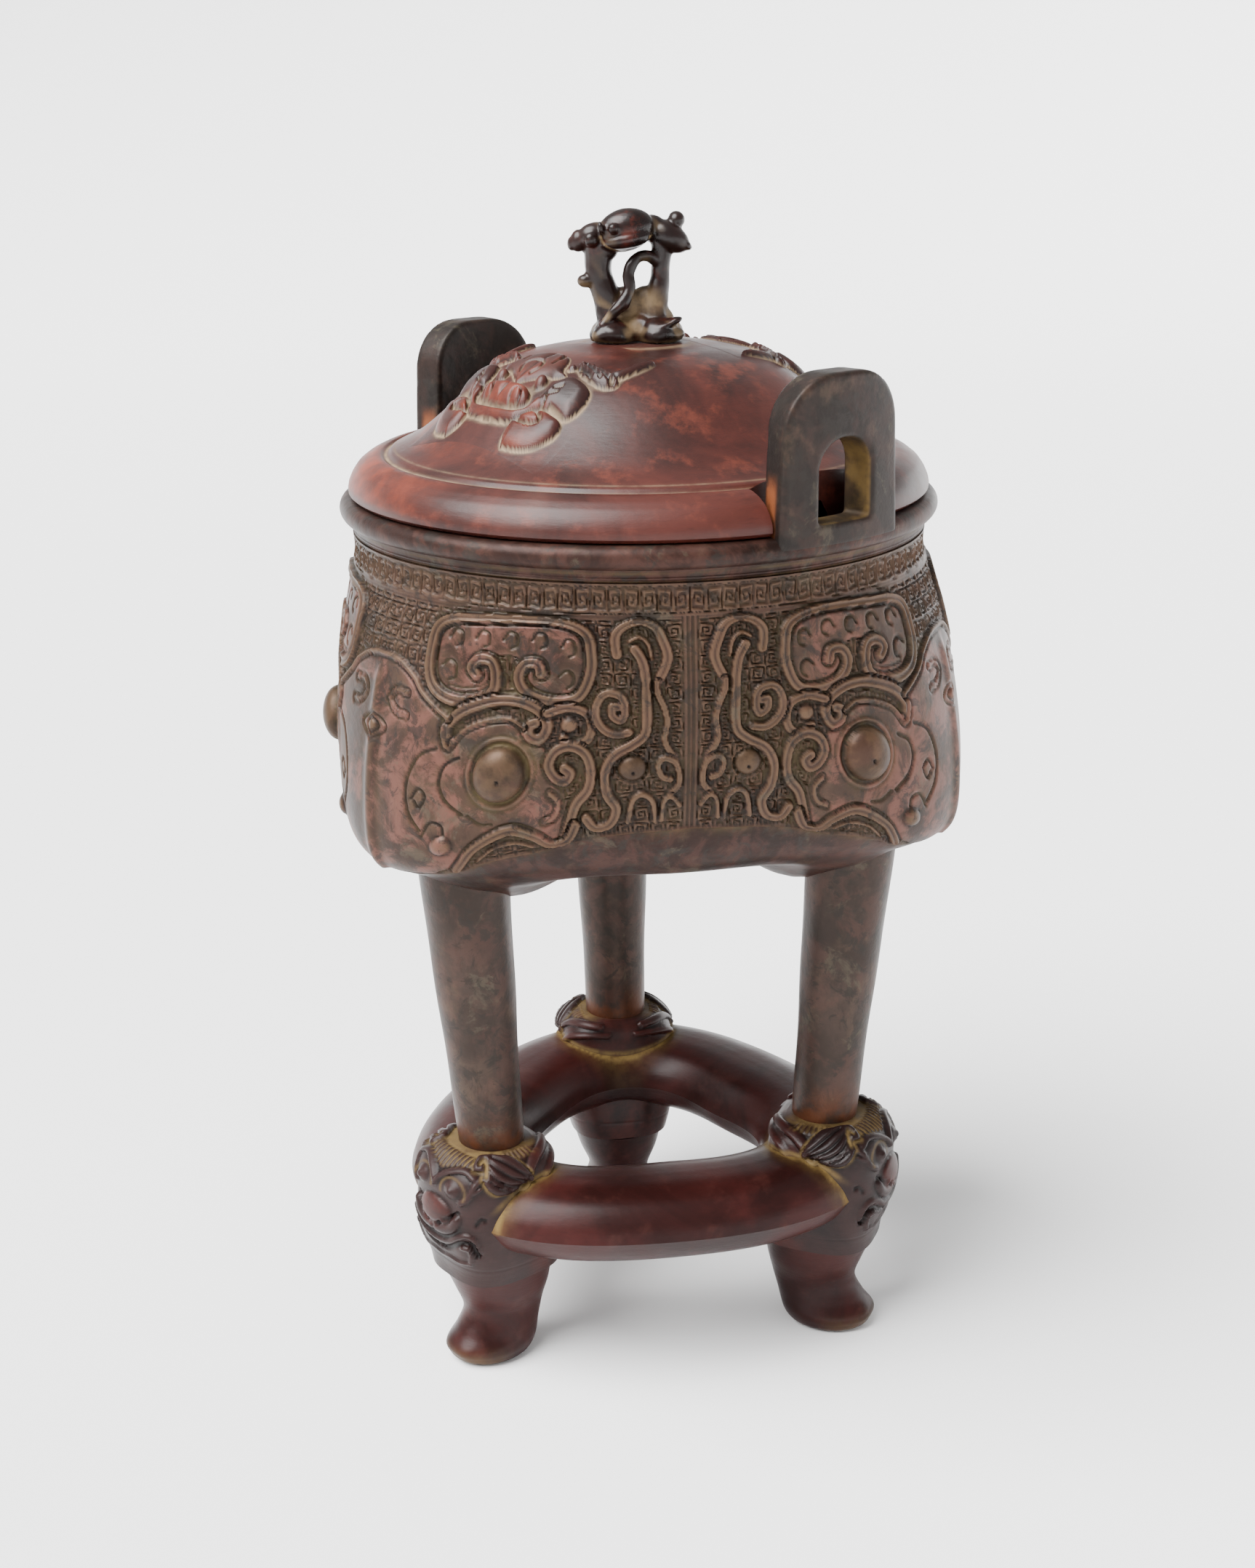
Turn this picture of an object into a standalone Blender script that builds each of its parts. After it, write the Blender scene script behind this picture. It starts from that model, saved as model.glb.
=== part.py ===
"""Bronze tripod incense burner with its carved wood cover, finial and stand.

One leg points to -Y and the two handles stand at +X and -X. The pieces are modelled round the Z axis
and hang on an empty that puts the middle of the whole box over the origin.
All sizes are in metres and all angles in degrees unless a name says otherwise.
"""
import math

import bmesh
import bpy
import numpy as np

# Vessel's axis behind the middle of the whole box
AXIS_BEHIND_MIDDLE = 0.0050

# Cast vessel
RIM_RADIUS = 0.075
LIP_TOP_Z = 0.2262
LIP_HEIGHT = 0.0056
BODY_DEPTH = 0.0925
WALL = 0.0040
RELIEF_HEIGHT = 0.0013
EYE_HEIGHT = 0.0052
LEG_TOP_RADIUS = 0.0114
LEG_TIP_RADIUS = 0.0083
LEG_TOP_SPREAD = 0.0574
LEG_TIP_SPREAD = 0.0506
LEG_TIP_Z = 0.0532

# Handles of the vessel
HANDLE_WIDTH = 0.0356
HANDLE_TOP_WIDTH = 0.0332
HANDLE_HEIGHT = 0.0361
HANDLE_THICKNESS = 0.0086
HANDLE_CORNER = 0.0130
HANDLE_EDGE = 0.0014
HANDLE_OPENING_WIDTH = 0.0150
HANDLE_OPENING_HEIGHT = 0.0190
HANDLE_OPENING_RISE = 0.0022

# Wood cover
COVER_GAP = 0.0003
COVER_FLANGE_RADIUS = 0.0724
COVER_HEIGHT = 0.0357
COVER_WALL = 0.0070
COVER_TONGUE_DEPTH = 0.0050
COVER_TONGUE_WALL = 0.0050
COVER_TONGUE_CLEARANCE = 0.0008
COVER_RELIEF = 0.0016
NOTCH_CLEARANCE = 0.0005
NOTCH_DEPTH_BEHIND_HANDLE = 0.0062

# Finial on the cover
FINIAL_GAP = 0.0003
FINIAL_HEIGHT = 0.0322

# Wood stand
FOOT_HEIGHT = 0.0267
FOOT_GAP = 0.0003
HEAD_HEIGHT = 0.0355
HEAD_SPREAD = 0.0515
SOCKET_CLEARANCE = 0.0005
SOCKET_FLOOR_GAP = 0.0005
RING_WIDTH = 0.0330
RING_CROWN_HEIGHT = 0.0108
RING_BELLY_DEPTH = 0.0104
RING_ARRIS_Z = 0.0446
RING_HEAD_DISTANCE = 0.0492
RING_SIDE_DISTANCE = 0.0412
RING_LEFT_BULGE = 0.0030

LEG_ANGLES = (-90.0, 30.0, 150.0)
RING_BULGE_ANGLE = 220.0
RING_BULGE_REACH = 35.0
LOBE_ANGLE = 60.0
BODY_SECTOR_FACES = 560
COVER_MASK_FACES = 375
COVER_MASK_SINK = 0.0005
HEAD_SECTOR_FACES = 170
WELD = 0.00002
AXIS_REACH = 0.0002

# Colours and finishes: name, colour, metallic, roughness
BRONZE = ("bronze", (0.105, 0.070, 0.050, 1.0), 0.85, 0.48)
ROSEWOOD = ("cover_wood", (0.130, 0.042, 0.028, 1.0), 0.0, 0.28)
FINIAL_WOOD = ("finial_wood", (0.050, 0.026, 0.020, 1.0), 0.0, 0.40)
STAND_WOOD = ("stand_wood", (0.080, 0.030, 0.027, 1.0), 0.0, 0.34)

# Profile of the body from the lip's underside to the middle of the bottom, once through the
# middle of a lobe and once through a seam: share of the rim radius, share of the body depth.
LOBE_PROFILE = np.array((
    (0.955, 0.010), (0.945, 0.068), (0.958, 0.116), (1.015, 0.246), (1.065, 0.408), (1.100, 0.595),
    (1.100, 0.761), (1.050, 0.830), (0.950, 0.870), (0.800, 0.939), (0.560, 1.000), (0.270, 0.878),
    (0.000, 0.813)))
SEAM_PROFILE = np.array((
    (0.955, 0.010), (0.945, 0.068), (0.950, 0.116), (0.962, 0.230), (0.968, 0.351), (0.960, 0.489),
    (0.932, 0.640), (0.895, 0.738), (0.840, 0.803), (0.740, 0.834), (0.450, 0.842), (0.200, 0.822),
    (0.000, 0.813)))
LOBE_SHARPNESS = 1.15
# The lobes narrow more sharply under this profile step
LOBE_LOW_SHARPNESS = 1.80
LOBE_LOW_STEP = 6.0

# Chart of half a lobe: degrees from the lobe's middle, step along the profile. One degree is
# about this many metres on the body, and one profile step this many.
CHART_X = 0.00138
CHART_Y = 0.0140

# The mask's raised bands on half a lobe, in the chart, each with its width in metres
MASK_BANDS = (
    # Horn: a broad frame that ends in two inward curls
    (0.0032, ((23.0, 3.05), (25.2, 3.25), (23.0, 3.62), (17.5, 3.66), (12.6, 3.35), (12.2, 2.60), (16.5, 2.26),
              (28.0, 2.18), (38.0, 2.24), (41.6, 2.60), (41.8, 3.25), (38.0, 3.68), (32.5, 3.58), (30.0, 3.20),
              (32.0, 3.02))),
    # Brow that curls under at its outer end
    (0.0032, ((17.0, 4.25), (19.5, 3.88), (26.2, 3.70), (32.5, 3.84), (33.6, 4.20), (31.4, 4.28))),
    # Ear behind the brow
    (0.0030, ((37.0, 3.95), (41.0, 4.00), (41.4, 4.35), (38.0, 4.45))),
    # Scroll between mask and dragon
    (0.0030, ((47.0, 4.05), (47.4, 3.75), (44.6, 3.62), (43.8, 4.05), (46.0, 4.38), (49.0, 4.20))),
    # Cheek curl that runs down to the mouth
    (0.0032, ((38.0, 4.98), (35.6, 4.88), (37.2, 4.60), (41.2, 4.80), (41.2, 5.25), (38.6, 5.65), (37.0, 6.10))),
    # Mouth
    (0.0032, ((17.0, 6.45), (20.8, 6.05), (26.0, 5.88), (31.0, 6.10), (34.5, 6.34))),
    # Dragon beside the seam: hooked snout, body, neck and tail
    (0.0032, ((47.0, 2.78), (47.6, 2.36), (51.5, 2.20), (54.6, 2.55), (54.4, 3.10))),
    (0.0032, ((51.2, 2.80), (52.2, 3.50), (51.8, 4.40), (46.6, 4.78), (45.2, 5.35), (45.6, 5.82), (42.2, 6.00))),
    (0.0026, ((55.4, 4.30), (55.0, 4.70), (57.0, 5.10), (55.6, 5.70))),
)
# Raised discs: centre in the chart, radius in metres, share of the relief height
MASK_DISCS = (
    ((49.8, 5.10), 0.0040, 1.2),
    ((14.8, 5.92), 0.0034, 1.6),
)
EYE_CENTRE = (26.0, 4.86)
EYE_RADIUS = 0.0062
# Outline of the mask's plain raised face, from the forehead round to the chin
FACE_OUTLINE = (
    (-1.0, 3.12), (5.0, 3.18), (8.8, 3.38), (12.0, 3.70), (16.5, 3.95), (24.0, 3.80), (32.0, 3.90), (34.5, 4.50),
    (34.5, 5.20), (36.5, 5.60), (36.0, 6.20), (33.0, 6.30), (28.0, 5.85), (22.0, 5.95), (17.0, 6.50), (9.0, 6.45),
    (-1.0, 6.45))
FACE_SHARE = 0.55
KEEL_WIDTH = 0.0022

# Cover: share of the flange radius, share of the cover's height over its base
COVER_PROFILE = np.array((
    (0.000, 1.000), (0.185, 1.000), (0.210, 0.985), (0.300, 0.965), (0.415, 0.915), (0.520, 0.800), (0.590, 0.680),
    (0.665, 0.535), (0.745, 0.400), (0.780, 0.358), (0.820, 0.320), (0.852, 0.290), (0.862, 0.258), (0.872, 0.258),
    (0.884, 0.274), (0.905, 0.270), (0.935, 0.242), (0.965, 0.196), (0.985, 0.138), (1.000, 0.065)))
# Beast mask on the cover, right half: share of the relief height, outline in flange radii
COVER_FORMS = (
    # Face from the brow to the lip
    (0.8, ((-0.01, 0.33), (0.08, 0.34), (0.20, 0.38), (0.29, 0.42), (0.305, 0.47), (0.285, 0.53), (0.20, 0.58),
           (0.11, 0.60), (-0.01, 0.605))),
    # Nose
    (1.9, ((-0.01, 0.485), (0.06, 0.495), (0.105, 0.530), (0.09, 0.575), (-0.01, 0.585))),
    # Jaw lock
    (1.3, ((0.130, 0.590), (0.115, 0.640), (0.145, 0.680), (0.205, 0.660), (0.250, 0.615), (0.240, 0.570),
           (0.190, 0.550))),
    # Ear
    (1.3, ((0.095, 0.375), (0.180, 0.340), (0.290, 0.315), (0.312, 0.345), (0.270, 0.395), (0.180, 0.395))),
    # Horn
    (1.1, ((0.275, 0.340), (0.315, 0.290), (0.318, 0.195), (0.300, 0.165), (0.275, 0.225), (0.262, 0.300))),
)
COVER_BANDS = (
    (0.0026, ((0.0, 0.600), (0.09, 0.592), (0.150, 0.565), (0.180, 0.520), (0.215, 0.495))),
    (0.0024, ((0.055, 0.430), (0.115, 0.415), (0.185, 0.440))),
)

# Finial in shares of its height: centre, half sizes and turn of each lump
FINIAL_TURN = 51.0
FINIAL_FACES = 560
FINIAL_LUMPS = (
    # Rock with a rolled leaf
    ((-0.17, -0.02, 0.06), (0.19, 0.23, 0.12), 0.0),
    ((0.17, 0.00, 0.06), (0.19, 0.25, 0.13), 0.0),
    ((0.00, 0.06, 0.09), (0.26, 0.22, 0.14), 0.0),
    ((0.11, 0.03, 0.20), (0.19, 0.11, 0.13), 25.0),
    ((-0.27, -0.16, 0.05), (0.09, 0.08, 0.06), 0.0),
    ((0.20, -0.13, 0.12), (0.16, 0.09, 0.045), -22.0),
    # Main cap with its snout
    ((-0.08, -0.06, 0.835), (0.225, 0.15, 0.160), -14.0),
    ((-0.33, -0.03, 0.800), (0.130, 0.10, 0.090), -25.0),
    ((-0.44, -0.01, 0.755), (0.065, 0.08, 0.085), 0.0),
    ((-0.26, 0.00, 0.680), (0.120, 0.10, 0.090), 0.0),
    # Cap that points right
    ((0.12, 0.02, 0.830), (0.110, 0.10, 0.115), 0.0),
    ((0.25, 0.02, 0.780), (0.180, 0.13, 0.105), 32.0),
    ((0.31, 0.04, 0.900), (0.065, 0.08, 0.065), 0.0),
    # Bud on the left stem
    ((-0.39, -0.02, 0.455), (0.070, 0.07, 0.055), 0.0),
)
# Radii along each stem, then the points that it follows
FINIAL_STEMS = (
    ((0.120, 0.110, 0.100, 0.105, 0.110), ((-0.19, 0.02, 0.10), (-0.20, 0.00, 0.25), (-0.25, 0.00, 0.38),
                                           (-0.29, 0.00, 0.50), (-0.29, 0.00, 0.62), (-0.30, 0.00, 0.75))),
    ((0.045, 0.055, 0.055, 0.052, 0.058), ((-0.26, -0.16, 0.14), (-0.19, -0.15, 0.22), (-0.10, -0.13, 0.30),
                                           (-0.05, -0.10, 0.40), (-0.06, -0.08, 0.52), (0.00, -0.06, 0.62),
                                           (0.09, -0.04, 0.64), (0.18, 0.00, 0.58))),
    ((0.150, 0.125, 0.088, 0.072, 0.075, 0.090), ((0.13, 0.03, 0.10), (0.13, 0.03, 0.24), (0.165, 0.02, 0.37),
                                                  (0.185, 0.02, 0.48), (0.19, 0.02, 0.60), (0.20, 0.02, 0.76))),
)

# Beast head: distance from its axis and height over its base, in head heights, from the top
# of the socket to the joint with the foot, at the face, at the side and at the back
HEAD_SQUARENESS = 3.0
HEAD_FRONT = np.array((
    (0.27, 0.985), (0.37, 0.950), (0.46, 0.870), (0.500, 0.760), (0.495, 0.640), (0.505, 0.500), (0.500, 0.360),
    (0.460, 0.220), (0.425, 0.100), (0.410, 0.000)))
HEAD_SIDE = np.array((
    (0.27, 0.985), (0.36, 0.950), (0.435, 0.870), (0.465, 0.740), (0.480, 0.610), (0.480, 0.470), (0.465, 0.330),
    (0.450, 0.200), (0.425, 0.090), (0.400, 0.000)))
HEAD_BACK = np.array((
    (0.27, 0.985), (0.34, 0.950), (0.375, 0.870), (0.390, 0.740), (0.405, 0.610), (0.415, 0.470), (0.430, 0.330),
    (0.445, 0.200), (0.450, 0.090), (0.450, 0.000)))
# Chart of half a head: degrees from the face, step down the profile, in head heights
HEAD_CHART_X = 0.0088
HEAD_CHART_Y = 0.125
# Carved bands: width and height in head heights, then the path in the chart
HEAD_BANDS = (
    # Brow over the eye
    (0.100, 0.036, ((4.0, 3.05), (16.0, 2.65), (32.0, 2.75), (44.0, 3.40))),
    # Nose wing
    (0.130, 0.040, ((0.0, 4.30), (9.0, 4.45), (14.0, 5.10), (7.0, 5.40), (0.0, 5.35))),
    # Upper lip down to the corner of the mouth
    (0.090, 0.026, ((0.0, 6.20), (14.0, 6.25), (30.0, 6.00), (42.0, 6.40), (48.0, 7.10))),
    # Ear
    (0.130, 0.040, ((60.0, 2.30), (70.0, 2.70), (82.0, 3.40), (94.0, 4.30))),
    # Collar behind the ear
    (0.110, 0.030, ((104.0, 1.60), (106.0, 3.00), (100.0, 5.00), (88.0, 6.60))),
)
HEAD_DISCS = (
    ((26.0, 3.95), 0.095, 0.060),
)
# Section of the ring from one arris over the crown to the other: share of the half width,
# share of the crown's height, and then back under the belly
RING_CROWN = ((1.00, 0.00), (0.90, 0.38), (0.68, 0.76), (0.36, 0.96), (0.00, 1.00))
RING_BELLY = ((0.78, -0.55), (0.42, -0.92), (0.00, -1.00))
# Foot from the sole up: height, inner and outer side from the head's axis, half width, all
# in foot heights
FOOT_SECTIONS = (
    (0.000, -0.24, 0.39, 0.27), (0.070, -0.37, 0.50, 0.36), (0.180, -0.42, 0.545, 0.385), (0.320, -0.46, 0.43, 0.345),
    (0.520, -0.52, 0.335, 0.330), (0.760, -0.57, 0.410, 0.430), (1.000, -0.60, 0.515, 0.500))


def clear_scene():
    """Remove every object that is in the scene."""
    for item in list(bpy.data.objects):
        bpy.data.objects.remove(item, do_unlink=True)


def collection(name):
    """Return a new collection linked to the scene."""
    group = bpy.data.collections.new(name)
    bpy.context.scene.collection.children.link(group)
    return group


def material(finish):
    """Return a Principled material, made once for each finish."""
    name, colour, metallic, roughness = finish
    existing = bpy.data.materials.get(name)
    if existing:
        return existing
    made = bpy.data.materials.new(name)
    made.use_nodes = True
    shader = made.node_tree.nodes["Principled BSDF"]
    shader.inputs["Base Color"].default_value = colour
    shader.inputs["Metallic"].default_value = metallic
    shader.inputs["Roughness"].default_value = roughness
    made.diffuse_color = colour
    return made


def new_object(name, mesh, group, finish=None):
    """Link a mesh as an object, with a finish if it is one of the pieces."""
    made = bpy.data.objects.new(name, mesh)
    group.objects.link(made)
    if finish:
        mesh.materials.clear()
        mesh.materials.append(material(finish))
    return made


def hide_tool(tool):
    """Keep a cutter or a joined form out of the finished model."""
    tool.hide_render = True
    tool.display_type = "WIRE"


def shade(piece, angle=40.0):
    """Shade smooth, with sharp edges past the given angle."""
    piece.data.shade_smooth()
    piece.data.set_sharp_from_angle(angle=math.radians(angle))


def spline(points, position):
    """Read a Catmull-Rom curve through the points at a position counted in points."""
    position = np.clip(np.asarray(position, float), 0.0, len(points) - 1 - 1e-9)
    index = position.astype(int)
    part = (position - index)[..., None]
    last = len(points) - 1
    before = points[np.clip(index - 1, 0, last)]
    start = points[index]
    end = points[np.clip(index + 1, 0, last)]
    after = points[np.clip(index + 2, 0, last)]
    return 0.5 * (2 * start + (end - before) * part
                  + (2 * before - 5 * start + 4 * end - after) * part ** 2
                  + (3 * start - before - 3 * end + after) * part ** 3)


def smooth_step(value):
    """Ease from 0 to 1."""
    value = np.clip(value, 0.0, 1.0)
    return value * value * (3 - 2 * value)


def rounded_path(points, steps=4):
    """Return a smooth path through the points, with a few steps between each pair."""
    points = np.array(points, float)
    return spline(points, np.linspace(0, len(points) - 1, (len(points) - 1) * steps + 1))


def distance_to_path(x, y, path):
    """Return the distance from every chart point to a path, in metres."""
    nearest = np.full(x.shape, np.inf)
    for (ax, ay), (bx, by) in zip(path[:-1], path[1:]):
        length = max((bx - ax) ** 2 + (by - ay) ** 2, 1e-12)
        share = np.clip(((x - ax) * (bx - ax) + (y - ay) * (by - ay)) / length, 0.0, 1.0)
        nearest = np.minimum(nearest, np.hypot(x - ax - share * (bx - ax), y - ay - share * (by - ay)))
    return nearest


def inside_outline(x, y, outline):
    """Tell which chart points lie inside a closed outline."""
    inside = np.zeros(x.shape, bool)
    for (ax, ay), (bx, by) in zip(outline, np.roll(outline, -1, axis=0)):
        if ay == by:
            continue
        crosses = (ay > y) != (by > y)
        inside ^= crosses & (x < (bx - ax) * (y - ay) / (by - ay) + ax)
    return inside


def raised_band(x, y, path, width):
    """Height, 0 to 1, of a band with rounded shoulders along a path."""
    shoulder = 0.45 * width
    return smooth_step((width / 2 - distance_to_path(x, y, path)) / shoulder)


def raised_disc(x, y, centre, radius):
    """Height, 0 to 1, of a domed disc."""
    away = np.hypot(x - centre[0], y - centre[1]) / radius
    return np.sqrt(np.clip(1 - away ** 2, 0.0, 1.0))


def chart_scale(points):
    """Turn chart points into metres on the body."""
    return np.array(points, float) * (CHART_X, CHART_Y)


def mask_relief(angle, step):
    """Height of the relief on a lobe, in metres, at degrees from its middle and a profile step."""
    x = np.abs(angle) * CHART_X
    y = step * CHART_Y
    height = np.zeros(x.shape)
    face = chart_scale(FACE_OUTLINE)
    face_edge = distance_to_path(x, y, np.vstack((face, face[:1])))
    face_rise = np.where(inside_outline(x, y, face), smooth_step(face_edge / (0.6 * RELIEF_HEIGHT)), 0.0)
    height += FACE_SHARE * RELIEF_HEIGHT * face_rise
    for width, points in MASK_BANDS:
        rise = raised_band(x, y, chart_scale(rounded_path(points)), width)
        height = np.maximum(height, RELIEF_HEIGHT * rise)
    for centre, radius, share in MASK_DISCS:
        rise = raised_disc(x, y, chart_scale([centre])[0], radius)
        height = np.maximum(height, share * RELIEF_HEIGHT * rise)
    eye = raised_disc(x, y, chart_scale([EYE_CENTRE])[0], EYE_RADIUS)
    height = np.maximum(height, EYE_HEIGHT * np.minimum(1.0, 1.25 * eye))
    keel = np.exp(-(x / KEEL_WIDTH) ** 2) * smooth_step((step - 3.1) / 0.5) * smooth_step((6.6 - step) / 0.4)
    return height + 0.8 * RELIEF_HEIGHT * keel


def lobe_angle(angle):
    """Return degrees from the nearest lobe's middle, negative on its left."""
    turned = (angle - LEG_ANGLES[0]) % 120.0
    return np.where(turned > LOBE_ANGLE, turned - 120.0, turned)


def body_surface(angle, step):
    """Return points of the body's smooth outer surface at angles in degrees and profile steps."""
    low = smooth_step(np.asarray(step) / LOBE_LOW_STEP - 0.2)
    sharpness = LOBE_SHARPNESS + (LOBE_LOW_SHARPNESS - LOBE_SHARPNESS) * low
    share = ((1 + np.cos(np.radians(3 * lobe_angle(angle)))) / 2) ** sharpness
    profile = spline(LOBE_PROFILE, step) * share[..., None] + spline(SEAM_PROFILE, step) * (1 - share[..., None])
    radius = profile[..., 0] * RIM_RADIUS
    height = LIP_TOP_Z - LIP_HEIGHT - profile[..., 1] * BODY_DEPTH
    turn = np.radians(angle)
    return np.stack((radius * np.cos(turn), radius * np.sin(turn), height), axis=-1)


def body_normal(angle, step):
    """Return the outward normals of the body's surface."""
    small_angle = 0.2
    small_step = 0.02
    low = np.clip(step - small_step, 0.0, len(LOBE_PROFILE) - 1)
    high = np.clip(step + small_step, 0.0, len(LOBE_PROFILE) - 1)
    around = body_surface(angle + small_angle, step) - body_surface(angle - small_angle, step)
    down = body_surface(angle, high) - body_surface(angle, low)
    normal = np.cross(down, around)
    length = np.linalg.norm(normal, axis=-1, keepdims=True)
    pole = np.array((0.0, 0.0, -1.0))
    return np.where(length > 1e-12, normal / np.maximum(length, 1e-12), pole)


def grid_solid(name, rows, group, finish=None):
    """Close a stack of rings, from a single bottom point to a single top point, into one mesh."""
    rings = [np.asarray(ring, float) for ring in rows]
    count = len(rings[1])
    bm = bmesh.new()
    made = [[bm.verts.new(point) for point in ring] for ring in rings]
    for low, high in zip(made[:-1], made[1:]):
        for i in range(count):
            j = (i + 1) % count
            if len(low) == 1:
                bm.faces.new((low[0], high[j], high[i]))
            elif len(high) == 1:
                bm.faces.new((low[i], low[j], high[0]))
            else:
                bm.faces.new((low[i], low[j], high[j], high[i]))
    bmesh.ops.recalc_face_normals(bm, faces=bm.faces)
    mesh = bpy.data.meshes.new(name)
    bm.to_mesh(mesh)
    bm.free()
    return new_object(name, mesh, group, finish)


def circle_ring(radius, height, angles):
    """Return a level ring of points."""
    turn = np.radians(angles)
    return np.stack((radius * np.cos(turn), radius * np.sin(turn), np.full(turn.shape, height)), axis=-1)


def evaluated_mesh(piece):
    """Return a new mesh of an object with its modifiers applied."""
    bpy.context.view_layer.update()
    return bpy.data.meshes.new_from_object(piece.evaluated_get(bpy.context.evaluated_depsgraph_get()))


def thinned_patch(name, rows, faces, group):
    """Mesh an open sheet of rows, thin it to a number of triangles and return it as a bmesh."""
    bm = bmesh.new()
    made = [[bm.verts.new(point) for point in row] for row in rows]
    for low, high in zip(made[:-1], made[1:]):
        for i in range(len(low) - 1):
            bm.faces.new((low[i], low[i + 1], high[i + 1], high[i]))
    bmesh.ops.remove_doubles(bm, verts=bm.verts, dist=WELD)
    bmesh.ops.dissolve_degenerate(bm, edges=bm.edges, dist=WELD)
    bmesh.ops.triangulate(bm, faces=bm.faces)
    mesh = bpy.data.meshes.new(name)
    bm.to_mesh(mesh)
    patch = new_object(name, mesh, group)
    modifier = patch.modifiers.new("Thin", "DECIMATE")
    modifier.ratio = min(1.0, faces / len(bm.faces))
    bm.free()
    thin = bmesh.new()
    thin.from_mesh(evaluated_mesh(patch))
    bpy.data.objects.remove(patch, do_unlink=True)
    return thin


def flatten_edges(bm, start, width):
    """Put the open edges of a sector's sheet exactly on its two upright planes."""
    for vertex in {v for edge in bm.edges if edge.is_boundary for v in edge.verts}:
        radius = math.hypot(vertex.co.x, vertex.co.y)
        if radius < AXIS_REACH:
            vertex.co.x = vertex.co.y = 0.0
            continue
        turned = (math.degrees(math.atan2(vertex.co.y, vertex.co.x)) - start + 180) % 360 - 180
        side = math.radians(start if turned < width / 2 else start + width)
        along = vertex.co.x * math.cos(side) + vertex.co.y * math.sin(side)
        vertex.co.x, vertex.co.y = along * math.cos(side), along * math.sin(side)


def repeated_sector(name, rows, start, width, faces, group, finish=None):
    """Build a solid from one sector's sheet, mirrored and turned until it closes on itself."""
    thin = thinned_patch(name, rows, faces, group)
    flatten_edges(thin, start, width)
    whole = bmesh.new()
    for turn in np.arange(0, 360 - 0.5, 2 * width):
        for mirrored in (False, True):
            copies = {}
            for vertex in thin.verts:
                radius = math.hypot(vertex.co.x, vertex.co.y)
                angle = math.degrees(math.atan2(vertex.co.y, vertex.co.x)) - start
                angle = math.radians(start + turn + (-angle if mirrored else angle))
                copies[vertex] = whole.verts.new((radius * math.cos(angle), radius * math.sin(angle), vertex.co.z))
            for face in thin.faces:
                corners = [copies[vertex] for vertex in face.verts]
                whole.faces.new(corners[::-1] if mirrored else corners)
    thin.free()
    bmesh.ops.remove_doubles(whole, verts=whole.verts, dist=WELD)
    bmesh.ops.dissolve_degenerate(whole, edges=whole.edges, dist=WELD)
    bmesh.ops.recalc_face_normals(whole, faces=whole.faces)
    mesh = bpy.data.meshes.new(name)
    whole.to_mesh(mesh)
    whole.free()
    return new_object(name, mesh, group, finish)


def boolean(piece, tool, operation):
    """Join or cut a piece with a tool."""
    modifier = piece.modifiers.new(operation.title(), "BOOLEAN")
    modifier.operation = operation
    modifier.object = tool
    modifier.solver = "EXACT"
    hide_tool(tool)


def body_solid(group):
    """Model the vessel's lobed body with its lip and its masks, solid right through."""
    start = LEG_ANGLES[0]
    angles = np.linspace(start, start + LOBE_ANGLE, 161)
    steps = np.concatenate((np.linspace(12, 6.8, 14), np.linspace(6.7, 2.0, 122), np.linspace(1.8, 0.0, 8)))
    angle_grid, step_grid = np.meshgrid(angles, steps)
    relief = mask_relief(lobe_angle(angle_grid), step_grid)
    sheet = body_surface(angle_grid, step_grid) + relief[..., None] * body_normal(angle_grid, step_grid)
    rows = list(sheet)
    lip_centre = LIP_TOP_Z - LIP_HEIGHT / 2
    for turn in np.radians(np.linspace(-90, 90, 9)):
        radius = RIM_RADIUS - LIP_HEIGHT / 2 * (1 - math.cos(turn))
        rows.append(circle_ring(radius, lip_centre + LIP_HEIGHT / 2 * math.sin(turn), angles))
    rows.append(circle_ring(0.0, LIP_TOP_Z, angles))
    return repeated_sector("bronze_vessel", rows, start, LOBE_ANGLE, BODY_SECTOR_FACES, group, BRONZE)


def body_cavity(group):
    """Model the space inside the vessel, which follows the outer surface at the wall's thickness."""
    angles = np.arange(0, 360, 10.0)
    rows = []
    for step in (12.0, 11.0, 10.0, 9.0, 8.0, 7.0, 5.8, 4.4, 3.0, 2.0, 1.2):
        level = np.full(angles.shape, step)
        rows.append(body_surface(angles, level) - WALL * body_normal(angles, level))
    rows[0] = rows[0][:1]
    mouth = mouth_radius()
    rows.append(circle_ring(mouth, LIP_TOP_Z - LIP_HEIGHT, angles))
    rows.append(circle_ring(mouth, LIP_TOP_Z + HANDLE_HEIGHT, angles))
    rows.append(np.array(((0.0, 0.0, LIP_TOP_Z + HANDLE_HEIGHT),)))
    return grid_solid("cavity", rows, group)


def mouth_radius():
    """Radius of the vessel's mouth."""
    return LOBE_PROFILE[1, 0] * RIM_RADIUS - WALL


def leg_axis(height):
    """Distance of a leg's axis from the vessel's axis at a height."""
    share = (height - LEG_TIP_Z) / (leg_top() - LEG_TIP_Z)
    return LEG_TIP_SPREAD + share * (LEG_TOP_SPREAD - LEG_TIP_SPREAD)


def leg_top():
    """Height at which the legs end inside the lobes."""
    return LIP_TOP_Z - LIP_HEIGHT - 0.86 * BODY_DEPTH


def leg_radius(height):
    """Radius of a leg at a height."""
    share = (height - LEG_TIP_Z) / (leg_top() - LEG_TIP_Z)
    return LEG_TIP_RADIUS + share * (LEG_TOP_RADIUS - LEG_TIP_RADIUS)


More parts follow.
